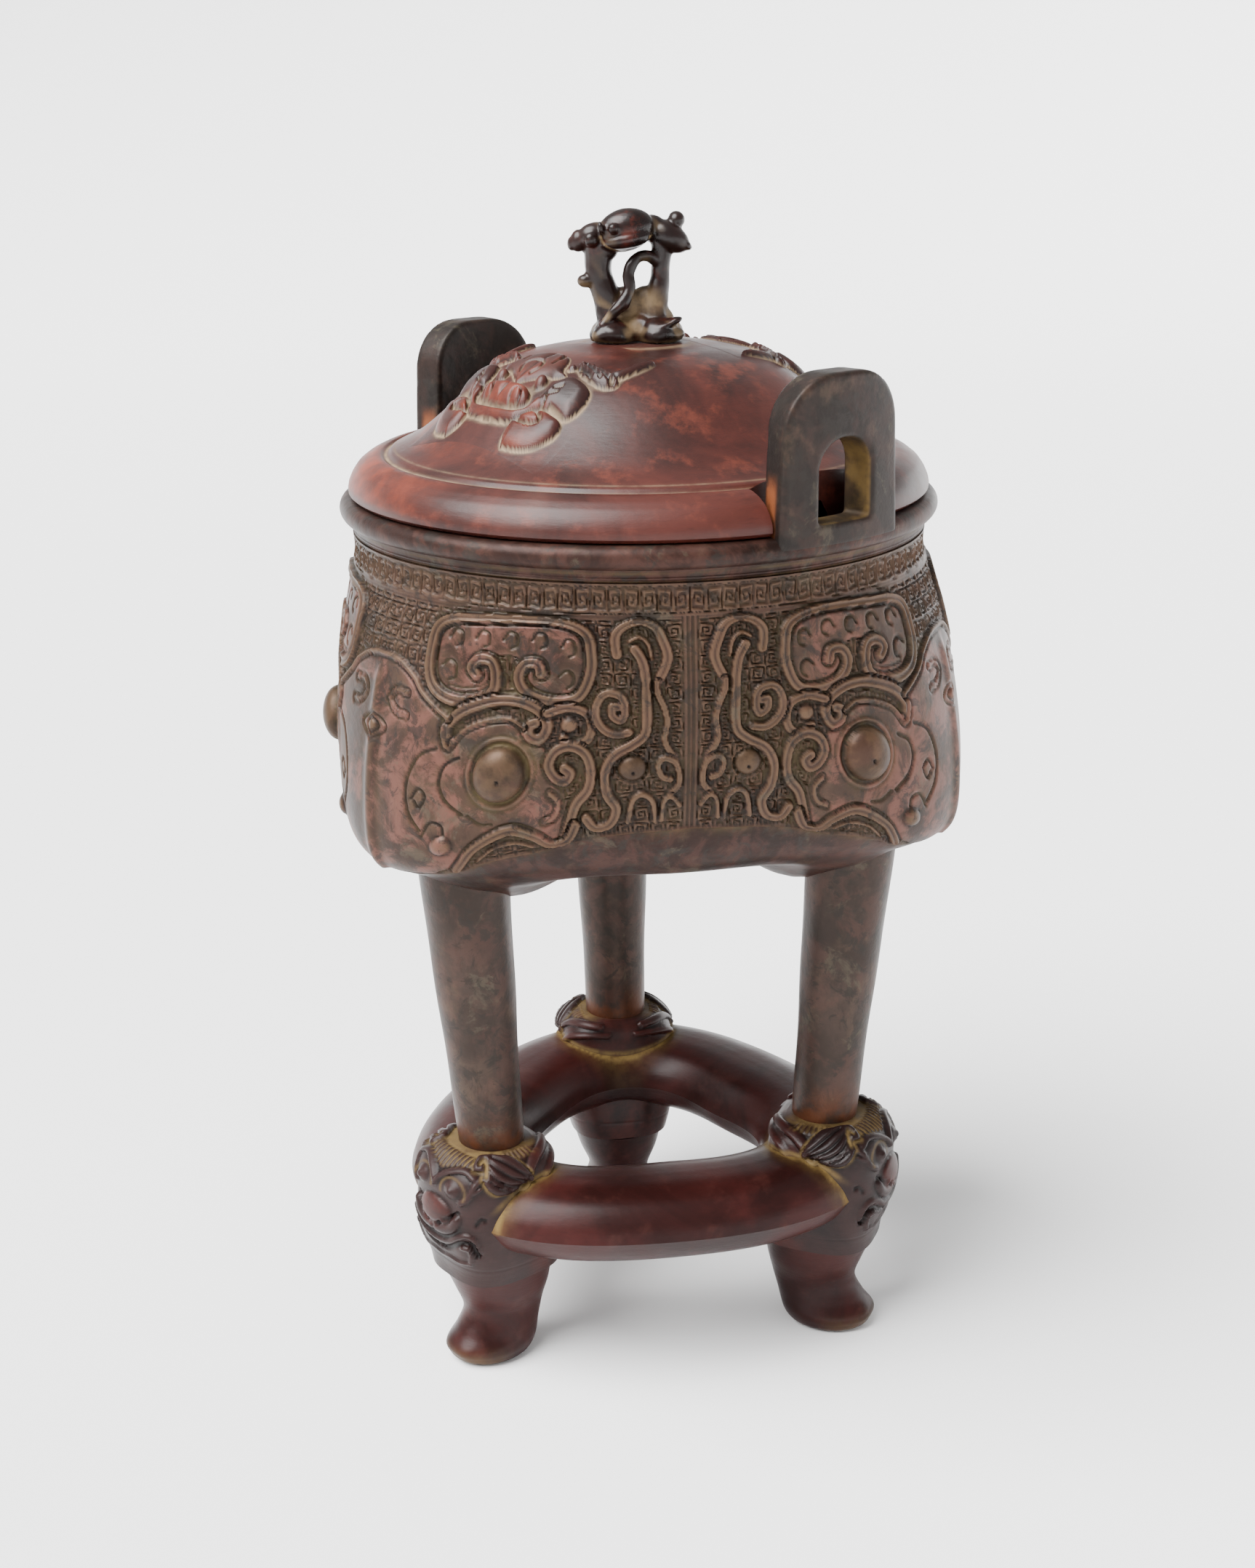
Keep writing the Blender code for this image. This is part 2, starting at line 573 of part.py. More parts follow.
def leg_rings(angle, bottom, top, extra, levels=2, sides=16):
    """Return the rings of a leg, or of the space around it, between two heights."""
    turn = np.radians(angle)
    rows = []
    for height in np.linspace(bottom, top, levels):
        ring = circle_ring(leg_radius(height) + extra, height, np.arange(sides) * 360 / sides)
        spread = leg_axis(height)
        rows.append(ring + (spread * math.cos(turn), spread * math.sin(turn), 0.0))
    return [rows[0].mean(axis=0)[None]] + rows + [rows[-1].mean(axis=0)[None]]


def outline_plate(name, outlines, thickness, bevel, group):
    """Make a plate in the XZ plane from closed outlines, with rounded edges, as a mesh."""
    curve = bpy.data.curves.new(name, "CURVE")
    curve.dimensions = "2D"
    curve.fill_mode = "BOTH"
    curve.extrude = thickness / 2 - bevel
    curve.bevel_depth = bevel
    curve.bevel_resolution = 0
    curve.offset = -bevel
    for outline in outlines:
        line = curve.splines.new("POLY")
        line.points.add(len(outline) - 1)
        for point, (x, y) in zip(line.points, outline):
            point.co = (x, y, 0.0, 1.0)
        line.use_cyclic_u = True
    holder = bpy.data.objects.new(name, curve)
    group.objects.link(holder)
    bpy.context.view_layer.update()
    mesh = bpy.data.meshes.new_from_object(holder.evaluated_get(bpy.context.evaluated_depsgraph_get()))
    bpy.data.objects.remove(holder, do_unlink=True)
    bm = bmesh.new()
    bm.from_mesh(mesh)
    bmesh.ops.remove_doubles(bm, verts=bm.verts, dist=0.00001)
    bm.to_mesh(mesh)
    bm.free()
    return new_object(name, mesh, group)


def arch_outline(bottom_width, top_width, bottom, top, corner, steps=6):
    """Return an outline with a straight foot and two rounded upper corners."""
    points = [(-bottom_width / 2, bottom), (bottom_width / 2, bottom)]
    half = top_width / 2
    corner = min(corner, half * 0.999)
    for turn in np.radians(np.linspace(0, 90, steps)):
        points.append((half - corner + corner * math.cos(turn), top - corner + corner * math.sin(turn)))
    for turn in np.radians(np.linspace(90, 180, steps)):
        points.append((-half + corner + corner * math.cos(turn), top - corner + corner * math.sin(turn)))
    return points


def handle(name, side, group):
    """Model one upright loop handle, curved with the rim, at +X or -X."""
    outer = arch_outline(HANDLE_WIDTH, HANDLE_TOP_WIDTH, -0.6 * LIP_HEIGHT, HANDLE_HEIGHT, HANDLE_CORNER)
    opening_top = HANDLE_OPENING_RISE + HANDLE_OPENING_HEIGHT
    opening = arch_outline(HANDLE_OPENING_WIDTH, HANDLE_OPENING_WIDTH, HANDLE_OPENING_RISE, opening_top,
                           0.47 * HANDLE_OPENING_WIDTH)
    piece = outline_plate(name, (outer, opening[::-1]), HANDLE_THICKNESS, HANDLE_EDGE, group)
    middle = RIM_RADIUS - 0.0002 - HANDLE_THICKNESS / 2
    for vertex in piece.data.vertices:
        along, up, outward = vertex.co
        turn = along / middle
        radius = middle + outward
        vertex.co = (side * radius * math.cos(turn), side * radius * math.sin(turn), LIP_TOP_Z + up)
    bm = bmesh.new()
    bm.from_mesh(piece.data)
    bmesh.ops.recalc_face_normals(bm, faces=bm.faces)
    bm.to_mesh(piece.data)
    bm.free()
    return piece


def bronze_vessel(group, tools):
    """The casting: body, legs and handles in one, with its hollow."""
    vessel = body_solid(group)
    for number, angle in enumerate(LEG_ANGLES):
        leg = grid_solid(f"leg_{number}", leg_rings(angle, LEG_TIP_Z, leg_top(), 0.0), tools)
        boolean(vessel, leg, "UNION")
    for label, side in (("left", -1), ("right", 1)):
        boolean(vessel, handle(f"handle_{label}", side, tools), "UNION")
    boolean(vessel, body_cavity(tools), "DIFFERENCE")
    shade(vessel)
    return vessel


def cover_height(radius):
    """Height of the cover's plain outer surface over its base at a distance from the axis."""
    return np.interp(radius, COVER_PROFILE[:, 0] * COVER_FLANGE_RADIUS, COVER_PROFILE[:, 1] * COVER_HEIGHT)


def cover_relief(x, y):
    """Height of the beast mask on the cover, y metres from the axis and x metres to its side."""
    x = np.abs(x)
    height = np.zeros(x.shape)
    for share, outline in COVER_FORMS:
        shape = np.array(outline) * COVER_FLANGE_RADIUS
        edge = distance_to_path(x, y, np.vstack((shape, shape[:1])))
        inside = inside_outline(x, y, shape)
        rise = np.where(inside, smooth_step(edge / (COVER_RELIEF * 1.3)), 0.0)
        height = np.maximum(height, share * COVER_RELIEF * rise)
    for width, points in COVER_BANDS:
        path = rounded_path(points) * COVER_FLANGE_RADIUS
        rise = raised_band(x, y, path, width)
        height = np.maximum(height, 1.5 * COVER_RELIEF * rise)
    return height


def cover_body(group):
    """Turn the cover's plain shape: dome, groove, flange, tongue and the hollow under the dome."""
    base = LIP_TOP_Z + COVER_GAP
    angles = np.arange(0, 360, 10.0)
    rows = [np.array(((0.0, 0.0, base + COVER_HEIGHT),))]
    for share in (0.20, 0.30, 0.42, 0.54, 0.66, 0.78, 0.88, 0.902, 0.935, 0.97, 1.0):
        radius = share * COVER_FLANGE_RADIUS
        rows.append(circle_ring(radius, base + cover_height(radius), angles))
    tongue_outer = mouth_radius() - COVER_TONGUE_CLEARANCE
    tongue_inner = tongue_outer - COVER_TONGUE_WALL
    rows.append(circle_ring(0.985 * COVER_FLANGE_RADIUS, base, angles))
    rows.append(circle_ring(tongue_outer, base, angles))
    rows.append(circle_ring(tongue_outer, base - COVER_TONGUE_DEPTH, angles))
    rows.append(circle_ring(tongue_inner, base - COVER_TONGUE_DEPTH, angles))
    for share in (0.98, 0.80, 0.60, 0.30):
        radius = tongue_inner * share
        rows.append(circle_ring(radius, base + cover_height(radius) - COVER_WALL, angles))
    rows.append(np.array(((0.0, 0.0, base + COVER_HEIGHT - COVER_WALL),)))
    return grid_solid("wood_cover", rows, group, ROSEWOOD)


def cover_mask(name, side, group):
    """Model one beast mask of the cover as a solid that dips under the dome round its outline."""
    base = LIP_TOP_Z + COVER_GAP
    across = np.linspace(-0.345, 0.345, 121) * COVER_FLANGE_RADIUS
    down = np.linspace(0.12, 0.715, 105) * COVER_FLANGE_RADIUS
    x, y = np.meshgrid(across, down)
    relief = cover_relief(x, y)
    plain = base + cover_height(np.hypot(x, y))
    top = plain + np.where(relief > 0.0, relief, -COVER_MASK_SINK)
    low = plain - 5 * COVER_MASK_SINK
    bm = bmesh.new()
    sheets = []
    for level in (top, low):
        sheets.append([[bm.verts.new((side * x[j, i], -side * y[j, i], level[j, i])) for i in range(x.shape[1])]
                       for j in range(x.shape[0])])
    upper, lower = sheets
    for j in range(len(upper) - 1):
        for i in range(len(upper[0]) - 1):
            bm.faces.new((upper[j][i], upper[j][i + 1], upper[j + 1][i + 1], upper[j + 1][i]))
            bm.faces.new((lower[j][i], lower[j + 1][i], lower[j + 1][i + 1], lower[j][i + 1]))
    border_top = upper[0] + [row[-1] for row in upper[1:]] + upper[-1][-2::-1] + [row[0] for row in upper[-2:0:-1]]
    border_low = lower[0] + [row[-1] for row in lower[1:]] + lower[-1][-2::-1] + [row[0] for row in lower[-2:0:-1]]
    for i in range(len(border_top)):
        j = (i + 1) % len(border_top)
        bm.faces.new((border_top[i], border_low[i], border_low[j], border_top[j]))
    bmesh.ops.recalc_face_normals(bm, faces=bm.faces)
    mesh = bpy.data.meshes.new(name)
    bm.to_mesh(mesh)
    bm.free()
    mask = new_object(name, mesh, group)
    thin = mask.modifiers.new("Thin", "DECIMATE")
    thin.ratio = COVER_MASK_FACES / (2 * len(mesh.polygons))
    thin.use_symmetry = True
    thin.symmetry_axis = "X"
    return mask


def wood_cover(group, tools):
    """The domed cover: beast masks at front and back, hollow under, notched for the handles."""
    cover = cover_body(group)
    for label, side in (("front", 1), ("back", -1)):
        boolean(cover, cover_mask(f"mask_{label}", side, tools), "UNION")
    for label, side in (("left", -1), ("right", 1)):
        boolean(cover, notch_cutter(f"notch_{label}", side, tools), "DIFFERENCE")
    shade(cover)
    return cover


def notch_cutter(name, side, group):
    """Box that clears one handle."""
    inner = RIM_RADIUS - HANDLE_THICKNESS - NOTCH_DEPTH_BEHIND_HANDLE
    outer = RIM_RADIUS + HANDLE_THICKNESS
    bpy.ops.mesh.primitive_cube_add(size=1.0)
    cutter = bpy.context.object
    cutter.name = name
    cutter.dimensions = (outer - inner, HANDLE_WIDTH + 2 * NOTCH_CLEARANCE, 3 * COVER_HEIGHT)
    cutter.location = (side * (inner + outer) / 2, 0.0, LIP_TOP_Z + COVER_HEIGHT)
    bpy.context.view_layer.update()
    move_to(cutter, group)
    return cutter


def move_to(piece, group):
    """Keep an object in one collection only."""
    for owner in list(piece.users_collection):
        owner.objects.unlink(piece)
    group.objects.link(piece)


def tube(name, points, radii, group):
    """Make a tapering tube along a smooth path as a closed mesh."""
    curve = bpy.data.curves.new(name, "CURVE")
    curve.dimensions = "3D"
    curve.bevel_depth = 1.0
    curve.bevel_resolution = 2
    curve.use_fill_caps = True
    path = rounded_path(points, 3)
    sizes = np.interp(np.linspace(0, 1, len(path)), np.linspace(0, 1, len(radii)), radii)
    line = curve.splines.new("POLY")
    line.points.add(len(path) - 1)
    for point, place, size in zip(line.points, path, sizes):
        point.co = (*place, 1.0)
        point.radius = size
    holder = new_object(name, curve, group)
    mesh = evaluated_mesh(holder)
    bpy.data.objects.remove(holder, do_unlink=True)
    bm = bmesh.new()
    bm.from_mesh(mesh)
    bmesh.ops.remove_doubles(bm, verts=bm.verts, dist=WELD)
    bmesh.ops.recalc_face_normals(bm, faces=bm.faces)
    bm.to_mesh(mesh)
    bm.free()
    return new_object(name, mesh, group)


def ellipsoid(name, centre, half_sizes, turn, group):
    """Make an ellipsoid turned about the Y axis."""
    bpy.ops.mesh.primitive_uv_sphere_add(segments=20, ring_count=12, radius=1.0, location=centre)
    form = bpy.context.object
    form.name = name
    form.scale = half_sizes
    form.rotation_euler = (0.0, math.radians(turn), 0.0)
    bpy.context.view_layer.update()
    move_to(form, group)
    return form


def cover_finial(group, tools):
    """The finial: fungus caps on twisting stems over a rock, in one openwork carving."""
    size = FINIAL_HEIGHT
    forms = []
    for number, (centre, half_sizes, turn) in enumerate(FINIAL_LUMPS):
        place = [size * value for value in centre]
        forms.append(ellipsoid(f"lump_{number}", place, [size * value for value in half_sizes], turn, tools))
    for number, (radii, points) in enumerate(FINIAL_STEMS):
        stem = [[size * value for value in point] for point in points]
        forms.append(tube(f"stem_{number}", stem, [size * value for value in radii], tools))
    bm = bmesh.new()
    for form in forms:
        mesh = evaluated_mesh(form)
        mesh.transform(form.matrix_world)
        bm.from_mesh(mesh)
        bpy.data.objects.remove(form, do_unlink=True)
    mesh = bpy.data.meshes.new("finial_forms")
    bm.to_mesh(mesh)
    bm.free()
    rough = new_object("finial_forms", mesh, tools)
    melt = rough.modifiers.new("Melt", "REMESH")
    melt.mode = "VOXEL"
    melt.voxel_size = 0.0155 * size
    soften = rough.modifiers.new("Soften", "SMOOTH")
    soften.iterations = 2
    mesh = evaluated_mesh(rough)
    bpy.data.objects.remove(rough, do_unlink=True)
    base = LIP_TOP_Z + COVER_GAP + COVER_HEIGHT + FINIAL_GAP
    turn = math.radians(FINIAL_TURN)
    for vertex in mesh.vertices:
        x, y, z = vertex.co
        vertex.co = (x * math.cos(turn) - y * math.sin(turn), x * math.sin(turn) + y * math.cos(turn), z + base)
    finial = new_object("cover_finial", mesh, group, FINIAL_WOOD)
    thin = finial.modifiers.new("Thin", "DECIMATE")
    thin.ratio = min(1.0, FINIAL_FACES / (2 * len(mesh.polygons)))
    boolean(finial, ground_cutter("finial_base", base, tools), "DIFFERENCE")
    shade(finial)
    return finial


def ground_cutter(name, top, group):
    """Large box whose top face trims what stands below a level."""
    side = 4 * RIM_RADIUS
    bpy.ops.mesh.primitive_cube_add(size=side, location=(0.0, 0.0, top - side / 2))
    cutter = bpy.context.object
    cutter.name = name
    move_to(cutter, group)
    return cutter


def head_point(turn, step):
    """Return points of a head's smooth surface, turn in degrees from its face, in its own frame."""
    front = spline(HEAD_FRONT, step)
    side = spline(HEAD_SIDE, step)
    back = spline(HEAD_BACK, step)
    bow = np.cos(np.radians(turn))
    swing = np.sin(np.radians(turn))
    along = np.where(bow >= 0, front[..., 0], back[..., 0])
    power = HEAD_SQUARENESS
    reach = (np.abs(bow / along) ** power + np.abs(swing / side[..., 0]) ** power) ** (-1 / power)
    facing = 0.5 + 0.5 * bow
    level = side[..., 1] + (front[..., 1] - side[..., 1]) * facing ** 2
    return np.stack((reach * bow * HEAD_HEIGHT, reach * swing * HEAD_HEIGHT, level * HEAD_HEIGHT), axis=-1)


def head_relief(turn, step):
    """Height of the carving on half a head, in shares of its height."""
    x = np.abs(turn) * HEAD_CHART_X
    y = step * HEAD_CHART_Y
    height = np.zeros(x.shape)
    for width, rise, points in HEAD_BANDS:
        path = rounded_path(points) * (HEAD_CHART_X, HEAD_CHART_Y)
        height = np.maximum(height, rise * raised_band(x, y, path, width))
    for centre, radius, rise in HEAD_DISCS:
        place = np.array(centre) * (HEAD_CHART_X, HEAD_CHART_Y)
        height = np.maximum(height, rise * raised_disc(x, y, place, radius))
    return height


def stand_head(number, angle, group):
    """Model one beast head of the stand as half a head and its mirror image."""
    turns = np.linspace(0, 180, 121)
    steps = np.linspace(len(HEAD_FRONT) - 1, 0, 60)
    turn_grid, step_grid = np.meshgrid(turns, steps)
    sheet = head_point(turn_grid, step_grid)
    relief = head_relief(turn_grid, step_grid) * HEAD_HEIGHT
    outward = sheet * (1.0, 1.0, 0.0)
    outward /= np.linalg.norm(outward, axis=-1, keepdims=True)
    sheet = sheet + relief[..., None] * outward
    rows = [sheet[0] * (0.0, 0.0, 1.0)] + list(sheet) + [sheet[-1] * (0.0, 0.0, 1.0)]
    rows[0][:, 2] = rows[0][0, 2]
    head = repeated_sector(f"head_{number}", rows, 0.0, 180.0, HEAD_SECTOR_FACES, group)
    turn = math.radians(angle)
    base = FOOT_HEIGHT + FOOT_GAP
    for vertex in head.data.vertices:
        x, y, z = vertex.co
        x += HEAD_SPREAD
        vertex.co = (x * math.cos(turn) - y * math.sin(turn), x * math.sin(turn) + y * math.cos(turn), z + base)
    return head


def ring_distance(angle):
    """Distance of the ring's middle line from the vessel's axis."""
    swing = math.cos(math.radians(3 * (angle - LEG_ANGLES[0])))
    radius = RING_SIDE_DISTANCE + (RING_HEAD_DISTANCE - RING_SIDE_DISTANCE) * (1 + swing) / 2
    away = (angle - RING_BULGE_ANGLE + 180) % 360 - 180
    return radius + RING_LEFT_BULGE * math.exp(-(away / RING_BULGE_REACH) ** 2)


def ring_section():
    """Return the ring's section, across and up from its middle line, once round."""
    half = [(x, y * (RING_CROWN_HEIGHT if y >= 0 else RING_BELLY_DEPTH)) for x, y in RING_CROWN[::-1] + RING_BELLY]
    other = [(-x, y) for x, y in half[-2:0:-1]]
    return [(x * RING_WIDTH / 2, y) for x, y in half + other]


def ring_tube(group):
    """Model the stand's ring, a three-cornered loop of rounded section with a low arris."""
    bm = bmesh.new()
    loops = []
    for angle in np.arange(0, 360, 12.0):
        radius = ring_distance(angle)
        turn = math.radians(angle)
        loop = []
        for across, up in ring_section():
            place = ((radius + across) * math.cos(turn), (radius + across) * math.sin(turn), RING_ARRIS_Z + up)
            loop.append(bm.verts.new(place))
        loops.append(loop)
    for here, there in zip(loops, loops[1:] + loops[:1]):
        for i in range(len(here)):
            j = (i + 1) % len(here)
            bm.faces.new((here[i], here[j], there[j], there[i]))
    bmesh.ops.recalc_face_normals(bm, faces=bm.faces)
    mesh = bpy.data.meshes.new("stand_ring")
    bm.to_mesh(mesh)
    bm.free()
    return new_object("stand_ring", mesh, group, STAND_WOOD)


def stand_ring(group, tools):
    """The stand's ring with its three beast heads and the sockets for the bronze legs."""
    ring = ring_tube(group)
    for number, angle in enumerate(LEG_ANGLES):
        boolean(ring, stand_head(number, angle, tools), "UNION")
    for number, angle in enumerate(LEG_ANGLES):
        top = FOOT_HEIGHT + 2 * HEAD_HEIGHT
        rings = leg_rings(angle, LEG_TIP_Z - SOCKET_FLOOR_GAP, top, SOCKET_CLEARANCE, levels=2, sides=16)
        boolean(ring, grid_solid(f"socket_{number}", rings, tools), "DIFFERENCE")
    shade(ring)
    return ring


def stand_foot(name, angle, group):
    """One short cabriole foot under a head."""
    turn = math.radians(angle)
    sides = 12
    rows = []
    for share, inner, outer, half_width in FOOT_SECTIONS:
        centre = (inner + outer) / 2 * FOOT_HEIGHT
        half_depth = (outer - inner) / 2 * FOOT_HEIGHT
        ring = []
        for side in range(sides):
            swing = 2 * math.pi * side / sides
            x = HEAD_SPREAD + centre + half_depth * math.cos(swing)
            y = half_width * FOOT_HEIGHT * math.sin(swing)
            ring.append((x * math.cos(turn) - y * math.sin(turn), x * math.sin(turn) + y * math.cos(turn),
                         share * FOOT_HEIGHT))
        rows.append(np.array(ring))
    rows = [rows[0].mean(axis=0)[None]] + rows + [rows[-1].mean(axis=0)[None]]
    foot = grid_solid(name, rows, group, STAND_WOOD)
    shade(foot)
    return foot


def stand_on_axis(groups):
    """Hang every object on one empty at the foot of the vessel's axis."""
    axis = bpy.data.objects.new("vessel_axis", None)
    for group in groups:
        for piece in group.objects:
            piece.parent = axis
    groups[0].objects.link(axis)
    axis.location = (0.0, AXIS_BEHIND_MIDDLE, 0.0)


def main():
    """Model the incense burner."""
    clear_scene()
    pieces = collection("tripod_incense_burner")
    tools = collection("cutters")
    bronze_vessel(pieces, tools)
    wood_cover(pieces, tools)
    cover_finial(pieces, tools)
    stand_ring(pieces, tools)
    for label, angle in zip(("front", "right", "left"), LEG_ANGLES):
        stand_foot(f"stand_foot_{label}", angle, pieces)
    stand_on_axis((pieces, tools))


main()
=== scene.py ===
"""Looks of the bronze tripod incense burner: cast relief, carved wood, patina and studio light.

Every piece is modelled round the Z axis and then moved onto the vessel's axis. One leg points to -Y and
the two handles stand at +X and -X.
Sizes are in metres and angles in degrees, unless a comment or a docstring says otherwise.
"""

import math

import bmesh
import bpy
import numpy as np
from mathutils import Matrix, Vector


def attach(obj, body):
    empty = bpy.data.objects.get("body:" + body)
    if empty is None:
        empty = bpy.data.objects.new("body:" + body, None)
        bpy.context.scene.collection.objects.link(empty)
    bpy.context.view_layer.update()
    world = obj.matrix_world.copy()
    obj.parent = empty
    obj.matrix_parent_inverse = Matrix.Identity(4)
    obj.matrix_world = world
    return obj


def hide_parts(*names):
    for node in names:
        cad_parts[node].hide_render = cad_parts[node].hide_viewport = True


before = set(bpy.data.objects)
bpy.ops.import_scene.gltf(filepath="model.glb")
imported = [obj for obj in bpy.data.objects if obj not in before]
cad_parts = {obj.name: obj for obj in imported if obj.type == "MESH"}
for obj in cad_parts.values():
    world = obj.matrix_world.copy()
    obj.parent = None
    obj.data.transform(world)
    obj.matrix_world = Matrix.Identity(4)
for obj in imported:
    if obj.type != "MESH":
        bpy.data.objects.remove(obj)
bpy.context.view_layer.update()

MM = 0.001
LEG_ANGLES = (-90.0, 30.0, 150.0)
AXIS_BEHIND_MIDDLE = 0.0050

# Vessel, as in the solids
RIM_RADIUS = 0.075
LIP_TOP_Z = 0.2262
LIP_HEIGHT = 0.0056
BODY_DEPTH = 0.0925
WALL = 0.0040
LEG_TOP_RADIUS = 0.0114
LEG_TIP_RADIUS = 0.0083
LEG_TOP_SPREAD = 0.0574
LEG_TIP_SPREAD = 0.0506
LEG_TIP_Z = 0.0532
LOBE_PROFILE = np.array((
    (0.955, 0.010), (0.945, 0.068), (0.958, 0.116), (1.015, 0.246), (1.065, 0.408), (1.100, 0.595),
    (1.100, 0.761), (1.050, 0.830), (0.950, 0.870), (0.800, 0.939), (0.560, 1.000), (0.270, 0.878),
    (0.000, 0.813)))
SEAM_PROFILE = np.array((
    (0.955, 0.010), (0.945, 0.068), (0.950, 0.116), (0.962, 0.230), (0.968, 0.351), (0.960, 0.489),
    (0.932, 0.640), (0.895, 0.738), (0.840, 0.803), (0.740, 0.834), (0.450, 0.842), (0.200, 0.822),
    (0.000, 0.813)))
LOBE_SHARPNESS = 1.15
LOBE_LOW_SHARPNESS = 1.80
LOBE_LOW_STEP = 6.0
MOUTH_RADIUS = LOBE_PROFILE[1, 0] * RIM_RADIUS - WALL

# Handles
HANDLE_WIDTH = 0.0356
HANDLE_TOP_WIDTH = 0.0332
HANDLE_HEIGHT = 0.0361
HANDLE_THICKNESS = 0.0086
HANDLE_CORNER = 0.0130
HANDLE_OPENING_WIDTH = 0.0150
HANDLE_OPENING_HEIGHT = 0.0190
HANDLE_OPENING_RISE = 0.0022
HANDLE_BEVEL = 0.0009
ARCH_STEPS = 12
HANDLE_VOXEL = 0.00062

# Cover. Its groove, bead and the finial's seat are shares of the radius.
COVER_GAP = 0.0003
COVER_FLANGE_RADIUS = 0.0724
COVER_HEIGHT = 0.0357
COVER_WALL = 0.0070
COVER_TONGUE_DEPTH = 0.0050
COVER_TONGUE_WALL = 0.0050
COVER_TONGUE_CLEARANCE = 0.0008
NOTCH_CLEARANCE = 0.0005
NOTCH_DEPTH_BEHIND_HANDLE = 0.0062
COVER_BASE = LIP_TOP_Z + COVER_GAP
COVER_GROOVE = 0.867
COVER_BEAD = 0.836
COVER_SEAT = 0.188
# Middle of the red patch on the cover's left, partly worn red and partly a painted glow of the light
COVER_GLOW_ANGLE = -118.0
COVER_PROFILE = np.array((
    (0.000, 1.000), (0.185, 1.000), (0.210, 0.985), (0.300, 0.965), (0.415, 0.915), (0.520, 0.800), (0.590, 0.680),
    (0.665, 0.535), (0.745, 0.400), (0.780, 0.358), (0.820, 0.320), (0.852, 0.290), (0.862, 0.258), (0.872, 0.258),
    (0.884, 0.274), (0.905, 0.270), (0.935, 0.242), (0.965, 0.196), (0.985, 0.138), (1.000, 0.065)))

# Finial
FINIAL_GAP = 0.0003
FINIAL_HEIGHT = 0.0318
FINIAL_VOXEL = 0.00038
STEM_SIDES = 14

# Stand
FOOT_HEIGHT = 0.0267
FOOT_GAP = 0.0003
HEAD_BASE_Z = FOOT_HEIGHT + FOOT_GAP
HEAD_HEIGHT = 0.0355
HEAD_SPREAD = 0.0515
RING_WIDTH = 0.0330
RING_CROWN_HEIGHT = 0.0108
RING_BELLY_DEPTH = 0.0104
RING_ARRIS_Z = 0.0446
RING_HEAD_DISTANCE = 0.0492
RING_SIDE_DISTANCE = 0.0412
RING_LEFT_BULGE = 0.0030
RING_BULGE_ANGLE = 220.0
RING_BULGE_REACH = 35.0

# Camera, found from the photograph: degrees, metres and pixels
CAMERA_AZIMUTH = 50.8403
CAMERA_YAW = 0.3583
CAMERA_PITCH = 17.9771
CAMERA_ROLL = -0.6331
CAMERA_DISTANCE = 0.56381
CAMERA_Z = 0.3305
CAMERA_FOCAL = 3111.42
PHOTO_HEIGHT = 2156.0
SENSOR_HEIGHT = 36.0

# Light: the sun's place is across the picture, towards its back, and up
SUN_STRENGTH = 12.0
SUN_ANGLE = 50.0
SUN_PLACE = (-0.74, -0.40, 1.20)
SKY_STRENGTH = 0.75
FLOOR_WHITE = 0.90


# Curves and fields

def spline(points, position):
    """Read a Catmull-Rom curve through the points at a position counted in points."""
    position = np.clip(np.asarray(position, float), 0.0, len(points) - 1 - 1e-9)
    index = position.astype(int)
    part = (position - index)[..., None]
    last = len(points) - 1
    before = points[np.clip(index - 1, 0, last)]
    start = points[index]
    end = points[np.clip(index + 1, 0, last)]
    after = points[np.clip(index + 2, 0, last)]
    return 0.5 * (2 * start + (end - before) * part
                  + (2 * before - 5 * start + 4 * end - after) * part ** 2
                  + (3 * start - before - 3 * end + after) * part ** 3)


def smooth_step(value):
    """Ease from 0 to 1."""
    value = np.clip(value, 0.0, 1.0)
    return value * value * (3 - 2 * value)


def half_ball(away):
    """Return a half ball's height by the distance from its middle, both as shares of its radius."""
    return np.sqrt(np.clip(1 - away ** 2, 0.0, 1.0))


def quarter_round(inside):
    """Return a rounded edge's height by the distance in from it, both as shares of its radius."""
    inside = np.clip(inside, 0.0, 1.0)
    return np.sqrt(inside * (2 - inside))


def turned(points, angle):
    """Turn points round the Z axis by degrees."""
    turn = math.radians(angle)
    x, y, z = np.moveaxis(points, -1, 0)
    return np.stack((x * math.cos(turn) - y * math.sin(turn), x * math.sin(turn) + y * math.cos(turn), z), axis=-1)


def rounded_path(points, steps=5):
    """Return a smooth path through the points, with a few steps between each pair."""
    points = np.array(points, float)
    return spline(points, np.linspace(0, len(points) - 1, (len(points) - 1) * steps + 1))


def distance_to_path(x, y, path, reach):
    """Return the distance from every point to a path, and the share along it; far points stay at reach."""
    nearest = np.full(x.shape, reach)
    along = np.zeros(x.shape)
    low = path.min(axis=0) - reach
    high = path.max(axis=0) + reach
    pick = (x > low[0]) & (x < high[0]) & (y > low[1]) & (y < high[1])
    if not pick.any():
        return nearest, along
    px, py = x[pick], y[pick]
    best = np.full(px.shape, reach)
    share_best = np.zeros(px.shape)
    count = len(path) - 1
    for number, ((ax, ay), (bx, by)) in enumerate(zip(path[:-1], path[1:])):
        length = max((bx - ax) ** 2 + (by - ay) ** 2, 1e-18)
        share = np.clip(((px - ax) * (bx - ax) + (py - ay) * (by - ay)) / length, 0.0, 1.0)
        away = np.hypot(px - ax - share * (bx - ax), py - ay - share * (by - ay))
        closer = away < best
        best = np.where(closer, away, best)
        share_best = np.where(closer, (number + share) / count, share_best)
    nearest[pick] = best
    along[pick] = share_best
    return nearest, along


